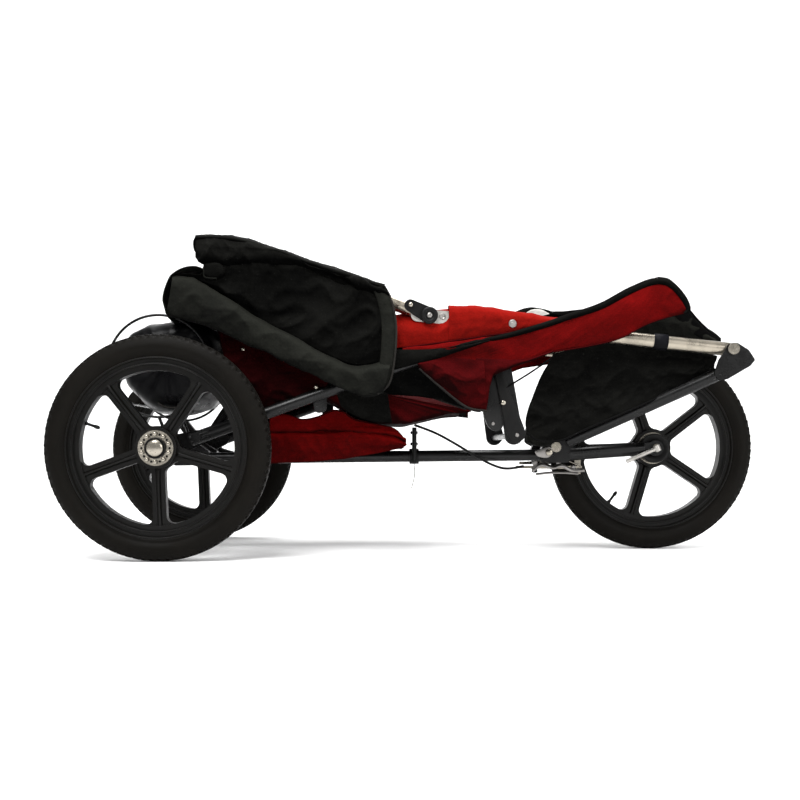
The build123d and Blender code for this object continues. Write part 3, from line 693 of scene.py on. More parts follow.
def wings(side, word):
    """Red side of the seat on one main tube: sleeve, strip below its seam, drop and fill. The sleeve
    wears the lit copy of the red as painted light; the drop and fill wear the shaded copy as painted
    shade.
    """
    seam = on_side(side, PANEL_Y + 0.5 * MM, (*SEAM, *SEAM_TOP[1:-1], (0.4835, 0.4555)))
    low = on_side(side, PANEL_Y - 3 * MM, STRIP_LOW)
    middle = [(a + b) / 2 for a, b in zip(
        [spline_at(seam, i / 12) for i in range(13)], [spline_at(low, i / 12) for i in range(13)]
    )]
    for i, point in enumerate(middle):
        point.y += side * (2.5 + 2.0 * math.sin(i * 1.1)) * MM
    patch(
        f"wing_strip_{word}", (low, middle, seam), 150, 16, RED, "main_frame",
        crease=CREASES, thick=1.8 * MM, levels=1,
    )
    sleeve_top = [
        (0.05, 0.4545), (0.1, 0.4525), (0.165, 0.4446), (0.215, 0.437),
        (0.253, 0.4325), (0.285, 0.4335), (0.312, 0.447),
    ]
    sleeve_low = [(x, z) for x, z in SEAM if 0.045 < x < 0.33]
    outer = on_side(side, PANEL_Y - 3.5 * MM, sleeve_top)
    bottom = on_side(side, PANEL_Y - 1 * MM, sleeve_low)
    belly = []
    for i in range(9):
        point = (spline_at(outer, i / 8) + spline_at(bottom, i / 8)) / 2
        point.y = side * (PANEL_Y + 0.8 * MM)
        belly.append(point)
    over = [Vector((p.x, side * (TUBE_Y - 2 * MM), p.z + 2.5 * MM)) for p in outer]
    inner = [Vector((p.x, side * (TUBE_Y - TUBE_R - 3 * MM), tube_z(p.x) - 2 * MM)) for p in outer]
    # The sleeve is cut from the lit copy of the red: painted light on top of the tube.
    patch(
        f"tube_sleeve_{word}", (bottom, belly, outer, over, inner), 110, 30, RED_LIT, "main_frame",
        crease=((0.05, 2.2, 2.2), (0.018, 0.7, 6.1)), thick=1.6 * MM, levels=1,
    )
    front_top = on_side(side, PANEL_Y - 3 * MM, (
        (-0.068, 0.417), (-0.015, 0.419), (0.005, 0.4185), (0.024, 0.4195), (0.042, 0.423),
        (0.054, 0.435),
    ))
    front_low = on_side(
        side, PANEL_Y - 1 * MM, ((-0.068, 0.379), (-0.03, 0.382), (0.01, 0.387), (0.054, 0.3935)),
    )
    front_rear = on_side(side, HINGE_INNER, (
        (-0.068, 0.44), (-0.015, 0.449), (0.005, 0.4515), (0.024, 0.453), (0.042, 0.4545), (0.054, 0.455),
    ))
    patch(
        f"sleeve_end_{word}", (front_low, front_top, front_rear), 50, 30, RED_LIT, "main_frame",
        crease=((0.03, 0.9, 4.2), (0.012, 0.3, 1.1)), thick=1.6 * MM, levels=1,
    )
    drop_top = on_side(
        side, PANEL_Y - 2 * MM, ((-0.0126, 0.3665), (0.0165, 0.367), (0.062, 0.365), (0.115, 0.358)),
    )
    drop_low = on_side(
        side, PANEL_Y - 3 * MM, ((-0.0026, 0.345), (0.035, 0.312), (0.082, 0.276), (0.12, 0.268)),
    )
    # Drop and fill below are cut from the shaded copy of the red: painted shade.
    patch(
        f"seat_drop_{word}", (drop_low, drop_top), 60, 36, RED_SHADED, "main_frame",
        crown=bulge(side * 6 * MM),
        crease=((0.06, 4.5, 1.3), (0.025, 1.8, 7.7), (0.008, 0.2, 3.3)),
        thick=1.8 * MM, levels=1,
    )
    fill_top = on_side(
        side, PANEL_Y - 2 * MM, ((0.1, 0.364), (0.14, 0.362), (0.19, 0.362), (0.24, 0.3775)),
    )
    fill_low = on_side(side, PANEL_Y - 4 * MM, (
        (0.104, 0.268), (0.119, 0.272), (0.123, 0.322), (0.152, 0.341), (0.198, 0.358), (0.24, 0.3745),
    ))
    patch(
        f"seat_fill_{word}", (fill_low, fill_top), 70, 24, RED_SHADED, "main_frame",
        crown=bulge(side * 4 * MM),
        crease=((0.04, 1.8, 9.3), (0.018, 0.7, 2.7)), thick=1.8 * MM, levels=1,
    )
    tube(
        f"wing_piping_{word}", on_side(side, PANEL_Y + 2.6 * MM, SEAM), 1.5 * MM,
        RED_SHADED, "main_frame", 10, 10,
    )
    tube(
        f"wing_binding_{word}", on_side(side, PANEL_Y + 1.2 * MM, SEAM_TOP), 3.6 * MM,
        PIPING, "main_frame", 12, 10, flat=0.75,
    )
    tube(
        f"wing_tip_stitch_{word}",
        on_side(side, PANEL_Y + 3.2 * MM, ((0.4535, 0.4985), (0.464, 0.486), (0.478, 0.4665))),
        0.5 * MM, PIPING, "main_frame", 6, 8,
    )
    tube(
        f"drop_piping_{word}", [p + Vector((0, side * 2.4 * MM, -1 * MM)) for p in drop_low], 2.1 * MM,
        GREY_PIPING, "main_frame", 10, 10,
    )
    tube(
        f"strip_edge_{word}", [p + Vector((0, side * 1.2 * MM, 0)) for p in low[5:]], 1.3 * MM,
        RED_SHADED, "main_frame", 8, 8,
    )
    rivet = Vector((0.1654, side * (PANEL_Y + 3.5 * MM), 0.4246))
    turned(
        f"sleeve_snap_{word}", rivet, (0, side, 0),
        mm((-1, 7.4), (1.2, 7.2), (2.0, 5.2), (1.5, 3.4), (2.4, 2.2), (2.6, 0.5)),
        LEVER, "main_frame", 32,
    )
    for i, offset in enumerate((4.5 * MM, 7.5 * MM)):
        line = [
            Vector((p.x, side * (PANEL_Y + 0.6 * MM), p.z - offset)) for p in on_side(side, 0, SEAM)
        ]
        stitches(f"wing_stitch_{i}_{word}", line[1:], side, "main_frame", RED_SHADED)


def stitches(name, line, side, body, material):
    """Row of thread stitches lying on cloth along a line of points."""
    length, gap = 3.2 * MM, 2.2 * MM
    total = sum((b - a).length for a, b in zip(line, line[1:]))
    count = int(total / (length + gap))
    verts, faces = [], []
    thick = 0.45 * MM
    for i in range(count):
        start = spline_at(line, i / count)
        end = spline_at(line, (i + length / (length + gap)) / count)
        along = (end - start).normalized()
        up = Vector((0, side, 0))
        wide = along.cross(up) * thick
        base = len(verts)
        for point, lift in ((start, 0.0), (start.lerp(end, 0.5), 0.7 * MM), (end, 0.0)):
            verts += [point - wide + up * lift, point + up * (lift + thick), point + wide + up * lift]
        for k in (0, 3):
            faces += [
                (base + k, base + k + 1, base + k + 4, base + k + 3),
                (base + k + 1, base + k + 2, base + k + 5, base + k + 4),
            ]
    make(name, verts, faces, material, body)


for side, word in SIDES:
    wings(side, word)
    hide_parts(f"side_panel_{word}")


# ------------------------------------------------------------- seat, padded
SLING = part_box("seat_sling")
SEAT_HALF = SLING[1].y


# The seat pad thins towards its edges about this sloping line.
PAD_REAR_X, PAD_REAR_Z = -0.29, 0.40
PAD_LONG, PAD_DROP = 0.39, 0.30
PAD_THINNING = 0.22


def seat_section(share):
    """Side outline of the seat pad; fuller in the middle of its width."""
    fat = 1.0 - PAD_THINNING * share ** 3
    top = (
        (-0.278, 0.392), (-0.225, 0.378), (-0.16, 0.352), (-0.105, 0.328), (-0.062, 0.3125),
        (-0.012, 0.303), (0.0425, 0.295), (0.084, 0.291),
    )
    low = (
        (0.094, 0.284), (0.06, 0.279), (0.03, 0.269), (0.000, 0.258), (-0.043, 0.249), (-0.1, 0.254),
        (-0.165, 0.286), (-0.225, 0.318), (-0.268, 0.352), (-0.286, 0.378),
    )
    ring = []
    for x, z in (*top, *low):
        point = Vector((x, 0, z))
        line_z = PAD_REAR_Z - PAD_DROP * (x - PAD_REAR_X) / PAD_LONG
        lean = Vector((x, 0, 0.5 * z + 0.5 * line_z))
        ring.append(point * fat + lean * (1 - fat))
    return ring


def seat_pad():
    """Folded seat bottom: a stuffed red pad between the main tubes, in the shaded copy of the red
    (painted shade).
    """
    sections = []
    shares = [-1, -0.96, -0.85, -0.6, -0.3, 0, 0.3, 0.6, 0.85, 0.96, 1]
    for share in shares:
        ring = seat_section(abs(share))
        loop = loop_points([(p.x, p.z) for p in ring], 96, share * (SEAT_HALF - 2 * MM))
        sections.append(loop)
    obj = blob(
        "seat_pad", sections, RED_SHADED, "main_frame",
        crease=((0.07, 4.5, 2.4), (0.03, 2.0, 6.6), (0.011, 0.4, 9.1)),
    )
    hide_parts("seat_sling")
    for side, word in SIDES:
        edge = [
            Vector((x, side * (SEAT_HALF - 1 * MM), z)) for x, z in
            ((-0.11, 0.331), (-0.062, 0.314), (-0.012, 0.305), (0.0425, 0.287), (0.086, 0.272))
        ]
        tube(f"seat_piping_{word}", edge, 2.3 * MM, GREY_PIPING, "main_frame", 10, 12)


seat_pad()


def side_pocket(side, word):
    """Black lining that hangs between the wing and the seat pad."""
    top = on_side(
        side, PANEL_Y - 14 * MM,
        ((-0.08, 0.392), (0.000, 0.382), (0.04, 0.372), (0.09, 0.362), (0.125, 0.362)),
    )
    low = on_side(
        side, SEAT_HALF + 3 * MM,
        ((-0.08, 0.3), (0.0165, 0.293), (0.06, 0.281), (0.098, 0.268), (0.112, 0.266)),
    )
    patch(
        f"seat_pocket_{word}", (low, top), 60, 30, BLACK, "main_frame",
        crease=((0.04, 2.5, 5.5), (0.016, 0.9, 3.9)), thick=1.8 * MM, levels=1,
    )


SKIRT_Y = 0.206


def seat_skirt(side, word):
    """Seat cloth from the canopy's edge to the basket, in the near-black red that paints the deep shade
    it hangs in, with its hem, snaps and black front.
    """
    y = SKIRT_Y
    upper = ((-0.372, 0.43), (-0.32, 0.405), (-0.268, 0.385), (-0.215, 0.355), (-0.16, 0.33))
    lower = ((-0.35, 0.33), (-0.318, 0.27), (-0.262, 0.262), (-0.217, 0.2915), (-0.178, 0.3035))
    patch(
        f"seat_skirt_{word}", (on_side(side, y - 4 * MM, lower), on_side(side, y, upper)), 90, 50,
        RED_DEEP_SHADE, "main_frame", crown=bulge(side * 3 * MM),
        crease=((0.06, 3.5, 4.7), (0.025, 1.6, 2.3), (0.01, 0.4, 7.5)),
        thick=1.8 * MM,
    )
    hem = [p + Vector((0, side * 1.5 * MM, 0)) for p in on_side(side, y - 4 * MM, lower[2:])]
    tube(f"skirt_hem_{word}", hem, 1.6 * MM, PIPING, "main_frame", 8, 8)
    front_top = ((-0.16, 0.322), (-0.13, 0.318), (-0.095, 0.312), (-0.06, 0.3))
    front_low = ((-0.146, 0.276), (-0.122, 0.26), (-0.088, 0.248), (-0.052, 0.246))
    patch(
        f"skirt_front_{word}",
        (on_side(side, y - 6 * MM, front_low), on_side(side, y - 2 * MM, front_top)),
        50, 30, BLACK, "main_frame",
        crease=((0.04, 2.4, 1.9), (0.018, 0.9, 5.6)), thick=1.8 * MM,
    )
    for i, (x, z) in enumerate(((-0.3232, 0.3795), (-0.1906, 0.3109))):
        bolt_head(
            f"skirt_snap_{i}_{word}", Vector((x, side * (y + 6.5 * MM), z)), side,
            3.4 * MM, 2.4 * MM, "main_frame",
        )


for side, word in SIDES:
    side_pocket(side, word)
    seat_skirt(side, word)


# --------------------------------------------------------------------- canopy
BAND_LOW = (
    (-0.456, 0.441), (-0.393, 0.424), (-0.338, 0.4), (-0.268, 0.371),
    (-0.192, 0.331), (-0.142, 0.307), (-0.099, 0.294), (-0.069, 0.304),
)
BAND_BELLY = (
    (-0.45, 0.474), (-0.402, 0.454), (-0.347, 0.431), (-0.28, 0.396),
    (-0.207, 0.358), (-0.154, 0.331), (-0.107, 0.313), (-0.062, 0.322),
)
BAND_TOP = (
    (-0.446, 0.499), (-0.407, 0.493), (-0.355, 0.465), (-0.291, 0.425),
    (-0.227, 0.39), (-0.169, 0.358), (-0.116, 0.338), (-0.056, 0.346),
)
HOLLOW = (
    (-0.434, 0.515), (-0.367, 0.495), (-0.314, 0.466), (-0.256, 0.445),
    (-0.198, 0.428), (-0.14, 0.413), (-0.093, 0.408), (-0.047, 0.41),
)
UNDER_FLAP = (
    (-0.39, 0.519), (-0.355, 0.521), (-0.314, 0.523), (-0.268, 0.524),
    (-0.215, 0.513), (-0.157, 0.493), (-0.104, 0.472), (-0.051, 0.452),
)
FLAP_LOW = (
    (-0.402, 0.548), (-0.374, 0.536), (-0.337, 0.533), (-0.297, 0.538),
    (-0.233, 0.534), (-0.174, 0.516), (-0.116, 0.494), (-0.057, 0.473),
)
FLAP_TOP = (
    (-0.404, 0.578), (-0.378, 0.5785), (-0.349, 0.577), (-0.314, 0.571),
    (-0.256, 0.552), (-0.192, 0.531), (-0.128, 0.51), (-0.066, 0.49),
)
HOOD_RIM = (
    (-0.066, 0.489), (-0.0555, 0.469), (-0.0475, 0.437), (-0.045, 0.402),
    (-0.049, 0.352), (-0.058, 0.315), (-0.079, 0.297),
)
HOOD_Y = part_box("canopy_shell")[1].y - 4 * MM
OVER_BAR = 14 * MM


def raised(outline, up, along=0.0):
    """Outline moved up and along."""
    return [(x + along, z + up) for x, z in outline]


def canopy():
    """Collapsed hood: one sheet over the bow, with a flap, a hollow and a band down each side. The band,
    the tail and the rim wear the lit copy of the black: painted light.
    """
    across = (-1.0, -0.72, -0.35, 0.0, 0.35, 0.72, 1.0)
    top = [
        [Vector((x, share * HOOD_Y, z + OVER_BAR * (1 - share ** 4))) for x, z in FLAP_TOP]
        for share in across
    ]
    turned_down = [
        [p + Vector((0, math.copysign(1.5 * MM, p.y), -8 * MM)) for p in rail]
        for rail in (top[0], top[-1])
    ]
    top = [turned_down[0], *top, turned_down[1]]
    hood = patch(
        "canopy_hood", top, 110, 96, BLACK, "canopy",
        crease=((0.09, 2, 4.4), (0.035, 1.2, 7.9), (0.013, 0.5, 2.2)),
    )
    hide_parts("canopy_shell")
    tail = (
        (-0.457, 0.441), (-0.462, 0.47), (-0.452, 0.5), (-0.436, 0.517),
        (-0.412, 0.5235), (-0.391, 0.519), (-0.388, 0.505), (-0.366, 0.503),
    )
    rear = [
        [Vector((x, share * (HOOD_Y + 5 * MM), z - 10 * MM * (1 - share * share))) for x, z in tail]
        for share in across
    ]
    patch(
        "canopy_tail", rear, 60, 80, BLACK_LIT, "canopy",
        crease=((0.07, 4, 1.4), (0.03, 2, 5.9), (0.012, 0.5, 8.2)),
    )
    lip_line = ((-0.404, 0.578), (-0.4075, 0.566), (-0.403, 0.549), (-0.383, 0.537), (-0.36, 0.532))
    lip = []
    for share in across:
        rise = 1 - share ** 4
        lip.append([
            Vector((x - 9 * MM * rise, share * HOOD_Y, z + OVER_BAR * rise)) for x, z in lip_line
        ])
    patch(
        "canopy_lip", lip, 36, 80, BLACK, "canopy",
        crease=((0.06, 1.4, 3.4), (0.02, 0.7, 5.1)),
    )
    for side, word in SIDES:
        rails = [
            on_side(side, HOOD_Y - 9 * MM, raised(BAND_LOW, 7 * MM, 4 * MM)),
            on_side(side, HOOD_Y - 1 * MM, BAND_LOW),
            on_side(side, HOOD_Y + 4.5 * MM, BAND_BELLY),
            on_side(side, HOOD_Y + 2 * MM, BAND_TOP),
            on_side(side, HOOD_Y - 17 * MM, raised(BAND_TOP, 11 * MM, -4 * MM)),
            on_side(side, HOOD_Y - 15 * MM, HOLLOW),
            on_side(side, HOOD_Y - 8 * MM, UNDER_FLAP),
            on_side(side, HOOD_Y - 12 * MM, raised(FLAP_LOW, -4 * MM)),
            on_side(side, HOOD_Y + 3.0 * MM, raised(FLAP_LOW, 3 * MM)),
            on_side(side, HOOD_Y + 3.5 * MM, [
                ((a[0] + b[0]) / 2, (a[1] + b[1]) / 2) for a, b in zip(FLAP_LOW, FLAP_TOP)
            ]),
            on_side(side, HOOD_Y, FLAP_TOP),
        ]
        patch(
            f"canopy_side_{word}", rails[4:], 170, 100, BLACK, "canopy",
            crease=((0.11, 9.0, 6.3), (0.045, 4.5, 1.7), (0.018, 1.3, 9.9), (0.006, 0.2, 3.3)),
        )
        # The band is cut from the lit copy of the black: painted light where it faces up.
        patch(
            f"canopy_band_{word}", rails[:5], 170, 50, BLACK_LIT, "canopy",
            crease=((0.09, 3.6, 2.9), (0.035, 2.0, 8.1), (0.012, 0.5, 4.6)),
        )
        roll = loop_points(
            (
                (-0.389, 0.531), (-0.392, 0.518), (-0.386, 0.505), (-0.364, 0.502), (-0.352, 0.512),
                (-0.36, 0.531),
            ),
            28, 0.0,
        )
        sections = [
            [Vector((p.x, side * y, p.z)) for p in roll]
            for y in (HOOD_Y - 40 * MM, HOOD_Y - 4 * MM, HOOD_Y + 5 * MM)
        ]
        blob(
            f"canopy_roll_{word}", sections, BLACK, "canopy",
            crease=((0.02, 1.6, 4.5),),
        )
        edge = on_side(side, HOOD_Y + 1.5 * MM, HOOD_RIM)
        tube(f"canopy_piping_{word}", edge, 1.9 * MM, GREY_PIPING, "canopy", 10, 14)
        rim = on_side(side, HOOD_Y - 1 * MM, HOOD_RIM)
        back = [p + Vector((-26 * MM, side * 1 * MM, 2 * MM)) for p in rim]
        mid = [p + Vector((-12 * MM, side * 3.5 * MM, 1 * MM)) for p in rim]
        patch(
            f"canopy_rim_{word}", (back, mid, rim), 60, 12, BLACK_LIT, "canopy",
            crease=((0.03, 1.2, 3.9), (0.01, 0.3, 1.9)), thick=1.6 * MM,
        )


canopy()


def bow_wire():
    """Spring wire bow that carries the hood, bent square at its far end."""
    reach = HOOD_Y - 16 * MM
    arm = ((-0.072, 0.44), (-0.16, 0.478), (-0.27, 0.52), (-0.38, 0.554))
    points = [Vector((x, reach, z)) for x, z in arm]
    points += [Vector((-0.39, reach - 22 * MM, 0.557)), Vector((-0.39, 0, 0.557))]
    points += [Vector((p.x, -p.y, p.z)) for p in reversed(points[:-1])]
    wire = tube("bow_wire", points, 4 * MM, PAINT, "canopy", 12, 10)
    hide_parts("canopy_bow")


bow_wire()


# ------------------------------------------------------------ basket and bag
def basket():
    """Red luggage basket slung between the lower rails and the rear struts."""
    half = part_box("basket_pan")[1].y
    top = (
        (-0.283, 0.264), (-0.248, 0.262), (-0.222, 0.254), (-0.192, 0.259), (-0.162, 0.271),
        (-0.141, 0.267), (-0.122, 0.254), (-0.08, 0.244), (-0.046, 0.236), (-0.0245, 0.214),
    )
    fold = (
        (-0.283, 0.229), (-0.241, 0.229), (-0.212, 0.229), (-0.19, 0.231), (-0.162, 0.2315),
        (-0.141, 0.231), (-0.122, 0.23), (-0.08, 0.226), (-0.046, 0.221), (-0.0235, 0.211),
    )
    belly = (
        (-0.283, 0.203), (-0.241, 0.203), (-0.212, 0.203), (-0.19, 0.204), (-0.162, 0.205),
        (-0.141, 0.206), (-0.122, 0.207), (-0.08, 0.208), (-0.046, 0.21), (-0.0225, 0.208),
    )
    low = (
        (-0.283, 0.171), (-0.241, 0.173), (-0.212, 0.174), (-0.19, 0.175), (-0.162, 0.178),
        (-0.141, 0.18), (-0.122, 0.183), (-0.08, 0.19), (-0.046, 0.198), (-0.026, 0.204),
    )
    folds = ((0.07, 4.0, 7.1), (0.028, 1.7, 1.8), (0.008, 0.25, 3.0))
    for side, word in SIDES:
        patch(
            f"basket_wall_{word}",
            (
                on_side(side, half - 5 * MM, low),
                on_side(side, half + 2 * MM, belly),
                on_side(side, half + 1 * MM, raised(fold, -5 * MM)),
                on_side(side, half - 8 * MM, fold),
                on_side(side, half - 1 * MM, raised(fold, 5 * MM)),
                on_side(side, half - 6 * MM, top),
            ),
            130, 60, RED, "base", crease=folds, thick=1.8 * MM,
        )
        tube(
            f"basket_binding_{word}", on_side(side, half - 5.5 * MM, raised(top, 0.5 * MM)),
            1.6 * MM, RED_SHADED, "base", 10, 8,
        )
    floor_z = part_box("basket_pan")[0].z + 6 * MM
    across = (-1, -0.5, 0, 0.5, 1)
    rails = []
    for s in across:
        y, z = s * (half - 3 * MM), floor_z - 2 * MM * (1 - s * s)
        rails.append([Vector((x, y, z)) for x in (-0.282, -0.2, -0.11, -0.028)])
    bottom = patch(
        "basket_floor", rails,
        80, 60, RED_SHADED, "base", crease=((0.06, 2.0, 2.0), (0.02, 0.7, 6.0)),
    )
    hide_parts("basket_pan")
    for name, ends in (
        ("basket_rear_end", ((-0.283, 0.203), (-0.285, 0.22), (-0.283, 0.236))),
        ("basket_front_end", ((-0.03, 0.203), (-0.026, 0.212), (-0.034, 0.226), (-0.048, 0.236))),
    ):
        patch(
            name, [[Vector((x, s * (half - 4 * MM), z)) for x, z in ends] for s in across],
            16, 60, RED, "base", crease=((0.04, 2.0, 5.0), (0.015, 0.6, 3.0)),
            thick=1.8 * MM,
        )


basket()


def cargo_bag():
    """Nylon sack hung in the wire hoop behind the seat."""
    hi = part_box("cargo_bag")[1]
    outline = (
        (-0.563, 0.392), (-0.548, 0.42), (-0.51, 0.436), (-0.455, 0.44), (-0.4, 0.432),
        (-0.374, 0.395), (-0.376, 0.335), (-0.405, 0.29), (-0.455, 0.271), (-0.505, 0.275),
        (-0.548, 0.312), (-0.566, 0.352),
    )
    sections = []
    for share, pull in (
        (-1, 26), (-0.94, 12), (-0.75, 3), (-0.4, 0), (0, -1), (0.4, 0), (0.75, 3), (0.94, 12), (1, 26),
    ):
        sections.append(loop_points(outline, 110, share * (hi.y - 3 * MM), pull * MM))
    obj = blob(
        "cargo_sack", sections, NYLON, "base",
        crease=((0.075, 7.0, 2.7), (0.03, 3.5, 6.2), (0.012, 1.0, 1.1)),
    )
    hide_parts("cargo_bag")
    for side, word in SIDES:
        hem = on_side(side, hi.y - 6 * MM, (
            (-0.447, 0.33), (-0.47, 0.318), (-0.489, 0.3), (-0.491, 0.287), (-0.478, 0.277),
            (-0.452, 0.276),
        ))
        tube(f"sack_hem_{word}", hem, 1.6 * MM, GREY_PIPING, "base", 8, 10)


cargo_bag()


# ------------------------------------------------------------------- footwell
def footwell():
    """Black foot box: a curtain each side, a hump above, a saddle over it and a heel panel. The hump's
    sides and the bunched cloth wear the lit copy of the black: painted light.
    """
    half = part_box("footwell_left")[1].y - 2 * MM
    low = (
        (0.199, 0.228), (0.222, 0.214), (0.262, 0.2145), (0.3, 0.2315), (0.366, 0.26),
        (0.434, 0.29), (0.504, 0.324), (0.546, 0.348),
    )
    mid_low = (
        (0.198, 0.256), (0.236, 0.262), (0.285, 0.276), (0.335, 0.292),
        (0.392, 0.31), (0.446, 0.33), (0.505, 0.346), (0.548, 0.357),
    )
    mid_top = (
        (0.219, 0.318), (0.262, 0.326), (0.31, 0.336), (0.362, 0.346),
        (0.415, 0.354), (0.465, 0.362), (0.514, 0.366), (0.55, 0.364),
    )
    top = (
        (0.247, 0.374), (0.284, 0.384), (0.33, 0.393), (0.382, 0.396),
        (0.43, 0.394), (0.474, 0.389), (0.518, 0.381), (0.552, 0.371),
    )
    folds = ((0.07, 4.0, 4.8), (0.03, 2.0, 9.4), (0.011, 0.5, 2.6))
    rails = (low, mid_low, mid_top, top)
    reach = (2 * MM, -3 * MM, -4 * MM, 0.0)
    tuck = 42 * MM
    for side, word in SIDES:
        skin = []
        for rail, out in zip(rails, reach):
            points = on_side(side, half + out, rail)
            if side > 0:
                for i, point in enumerate(points):
                    point.x += tuck * max(0.0, 1 - i / 3)
            skin.append(points)
        wall = patch(
            f"footwell_curtain_{word}", skin, 140, 70, BLACK, "main_frame", crease=folds,
        )
        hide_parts(f"footwell_{word}")
        tube(
            f"footwell_hem_{word}", [p + Vector((0, side * 1 * MM, 0)) for p in skin[0]],
            2.0 * MM, PIPING, "main_frame", 10, 10,
        )
        hump_low = on_side(side, half - 1 * MM, (
            (0.398, 0.402), (0.425, 0.402), (0.455, 0.399), (0.485, 0.396), (0.52, 0.392), (0.553, 0.386),
        ))
        hump_top = on_side(side, half - 1 * MM, (
            (0.402, 0.466), (0.424, 0.482), (0.45, 0.49), (0.481, 0.474), (0.519, 0.432), (0.558, 0.398),
        ))
        # The hump's sides are cut from the lit copy of the black: painted light.
        patch(
            f"hump_side_{word}", (hump_low, hump_top), 70, 30, BLACK_LIT, "main_frame",
            crown=bulge(side * 3 * MM),
            crease=folds[1:], thick=1.8 * MM,
        )
        mesh_low = on_side(
            side, half + 2.5 * MM, ((0.452, 0.4605), (0.48, 0.436), (0.512, 0.408), (0.548, 0.393)),
        )
        mesh_top = on_side(
            side, half + 2.5 * MM, ((0.46, 0.484), (0.488, 0.463), (0.522, 0.4255), (0.556, 0.3985)),
        )
        patch(
            f"hump_mesh_{word}", (mesh_low, mesh_top), 50, 14, MESH, "main_frame",
            crease=((0.02, 0.8, 3.3),), thick=1.2 * MM,
        )
        tube(
            f"hump_binding_{word}", [p + Vector((0, side * 1.5 * MM, 0.5 * MM)) for p in hump_top],
            2.2 * MM,
            PIPING, "main_frame", 10, 10,
        )
        # Slack cloth bunched where the curtain meets the link, in the lit copy of the black (painted
        # light).
        sections = []
        for share in (-1, -0.6, 0, 0.6, 1):
            ring = loop_points(
                (
                    (0.201, 0.236), (0.2015, 0.216), (0.214, 0.205), (0.236, 0.205), (0.256, 0.214),
                    (0.248, 0.234), (0.222, 0.244),
                ),
                40, side * (half - 16 * MM) + share * 15 * MM, 5 * MM * abs(share) ** 3,
            )
            for point in ring:
                if side > 0:
                    point.x += tuck * 0.8
            sections.append(ring)
        blob(
            f"footwell_bunch_{word}", sections, BLACK_LIT, "main_frame",
            crease=((0.022, 3.6, 2.2), (0.009, 1.4, 6.0)),
        )
    across = (-1, -0.8, -0.4, 0, 0.4, 0.8, 1)
    saddle = (
        (0.402, 0.412), (0.401, 0.44), (0.404, 0.467), (0.424, 0.483), (0.45, 0.491),
        (0.481, 0.474), (0.519, 0.432), (0.545, 0.414), (0.5585, 0.402),
    )
    over = patch(
        "footwell_saddle",
        [[Vector((x, s * (half - 1 * MM), z)) for x, z in saddle] for s in across],
        90, 90, BLACK, "main_frame", crease=folds[1:],
    )
    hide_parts("footwell_top")
    panel = []
    for s in (-1, -0.5, 0, 0.5, 1):
        edge = [(0.203, 0.236), (0.199, 0.256), (0.22, 0.318), (0.249, 0.372)]
        shift = tuck * (s + 1) / 2
        bow = 10 * MM * (1 - s * s)
        panel.append([Vector((x + shift + bow, s * (half - 2 * MM), z)) for x, z in edge])
    patch(
        "footwell_heel", panel, 50, 70, BLACK, "main_frame",
        crease=folds[:2],
    )


footwell()


HARNESS_HALF = 0.118


def harness_pad():
    """Black padded head rest folded down between the main tubes, with a pale pocket each side."""
    outline = (
        (0.17, 0.447), (0.18, 0.458), (0.206, 0.4675), (0.234, 0.465), (0.285, 0.4595),
        (0.345, 0.466), (0.352, 0.4545), (0.285, 0.4455), (0.215, 0.446),
    )
    sections = [
        loop_points(outline, 64, share * HARNESS_HALF, pull * MM)
        for share, pull in ((-1, 6), (-0.93, 2), (-0.6, 0), (0, 0), (0.6, 0), (0.93, 2), (1, 6))
    ]
    pad = blob(
        "harness_pad", sections, BLACK, "main_frame",
        crease=((0.05, 2.4, 7.4), (0.018, 0.8, 3.1)),
    )
    for side, word in SIDES:
        low = on_side(
            side, HARNESS_HALF + 2.5 * MM,
            ((0.197, 0.45), (0.214, 0.4485), (0.232, 0.4495), (0.246, 0.453)),
        )
        top = on_side(
            side, HARNESS_HALF + 1.5 * MM,
            ((0.197, 0.451), (0.212, 0.461), (0.23, 0.462), (0.246, 0.454)),
        )
        patch(
            f"harness_mesh_{word}", (low, top), 30, 10, LINING, "main_frame",
            crease=((0.01, 0.4, 3.3),), thick=1.2 * MM, levels=1,
        )


harness_pad()


# ------------------------------------------------------------------- hardware
def flat_plate(name, outline, y0, y1, material, body):
    """Plate with a smooth outline, from one Y to another, its edges rounded."""
    count = 64
    ring = loop_points(outline, count, 0.0)
    verts = [Vector((p.x, y0, p.z)) for p in ring] + [Vector((p.x, y1, p.z)) for p in ring]
    faces = [tuple(range(count)), tuple(reversed(range(count, 2 * count)))]
    for k in range(count):
        faces.append((k, k + count, (k + 1) % count + count, (k + 1) % count))
    obj = make(name, verts, faces, material)
    soften = obj.modifiers.new("bevel", "BEVEL")
    soften.width = 0.8 * MM
    soften.segments = 2
    soften.limit_method = "ANGLE"
    split = obj.modifiers.new("split", "EDGE_SPLIT")
    split.split_angle = math.radians(50)
    apply_modifiers(obj)
    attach(obj, body)
    return obj


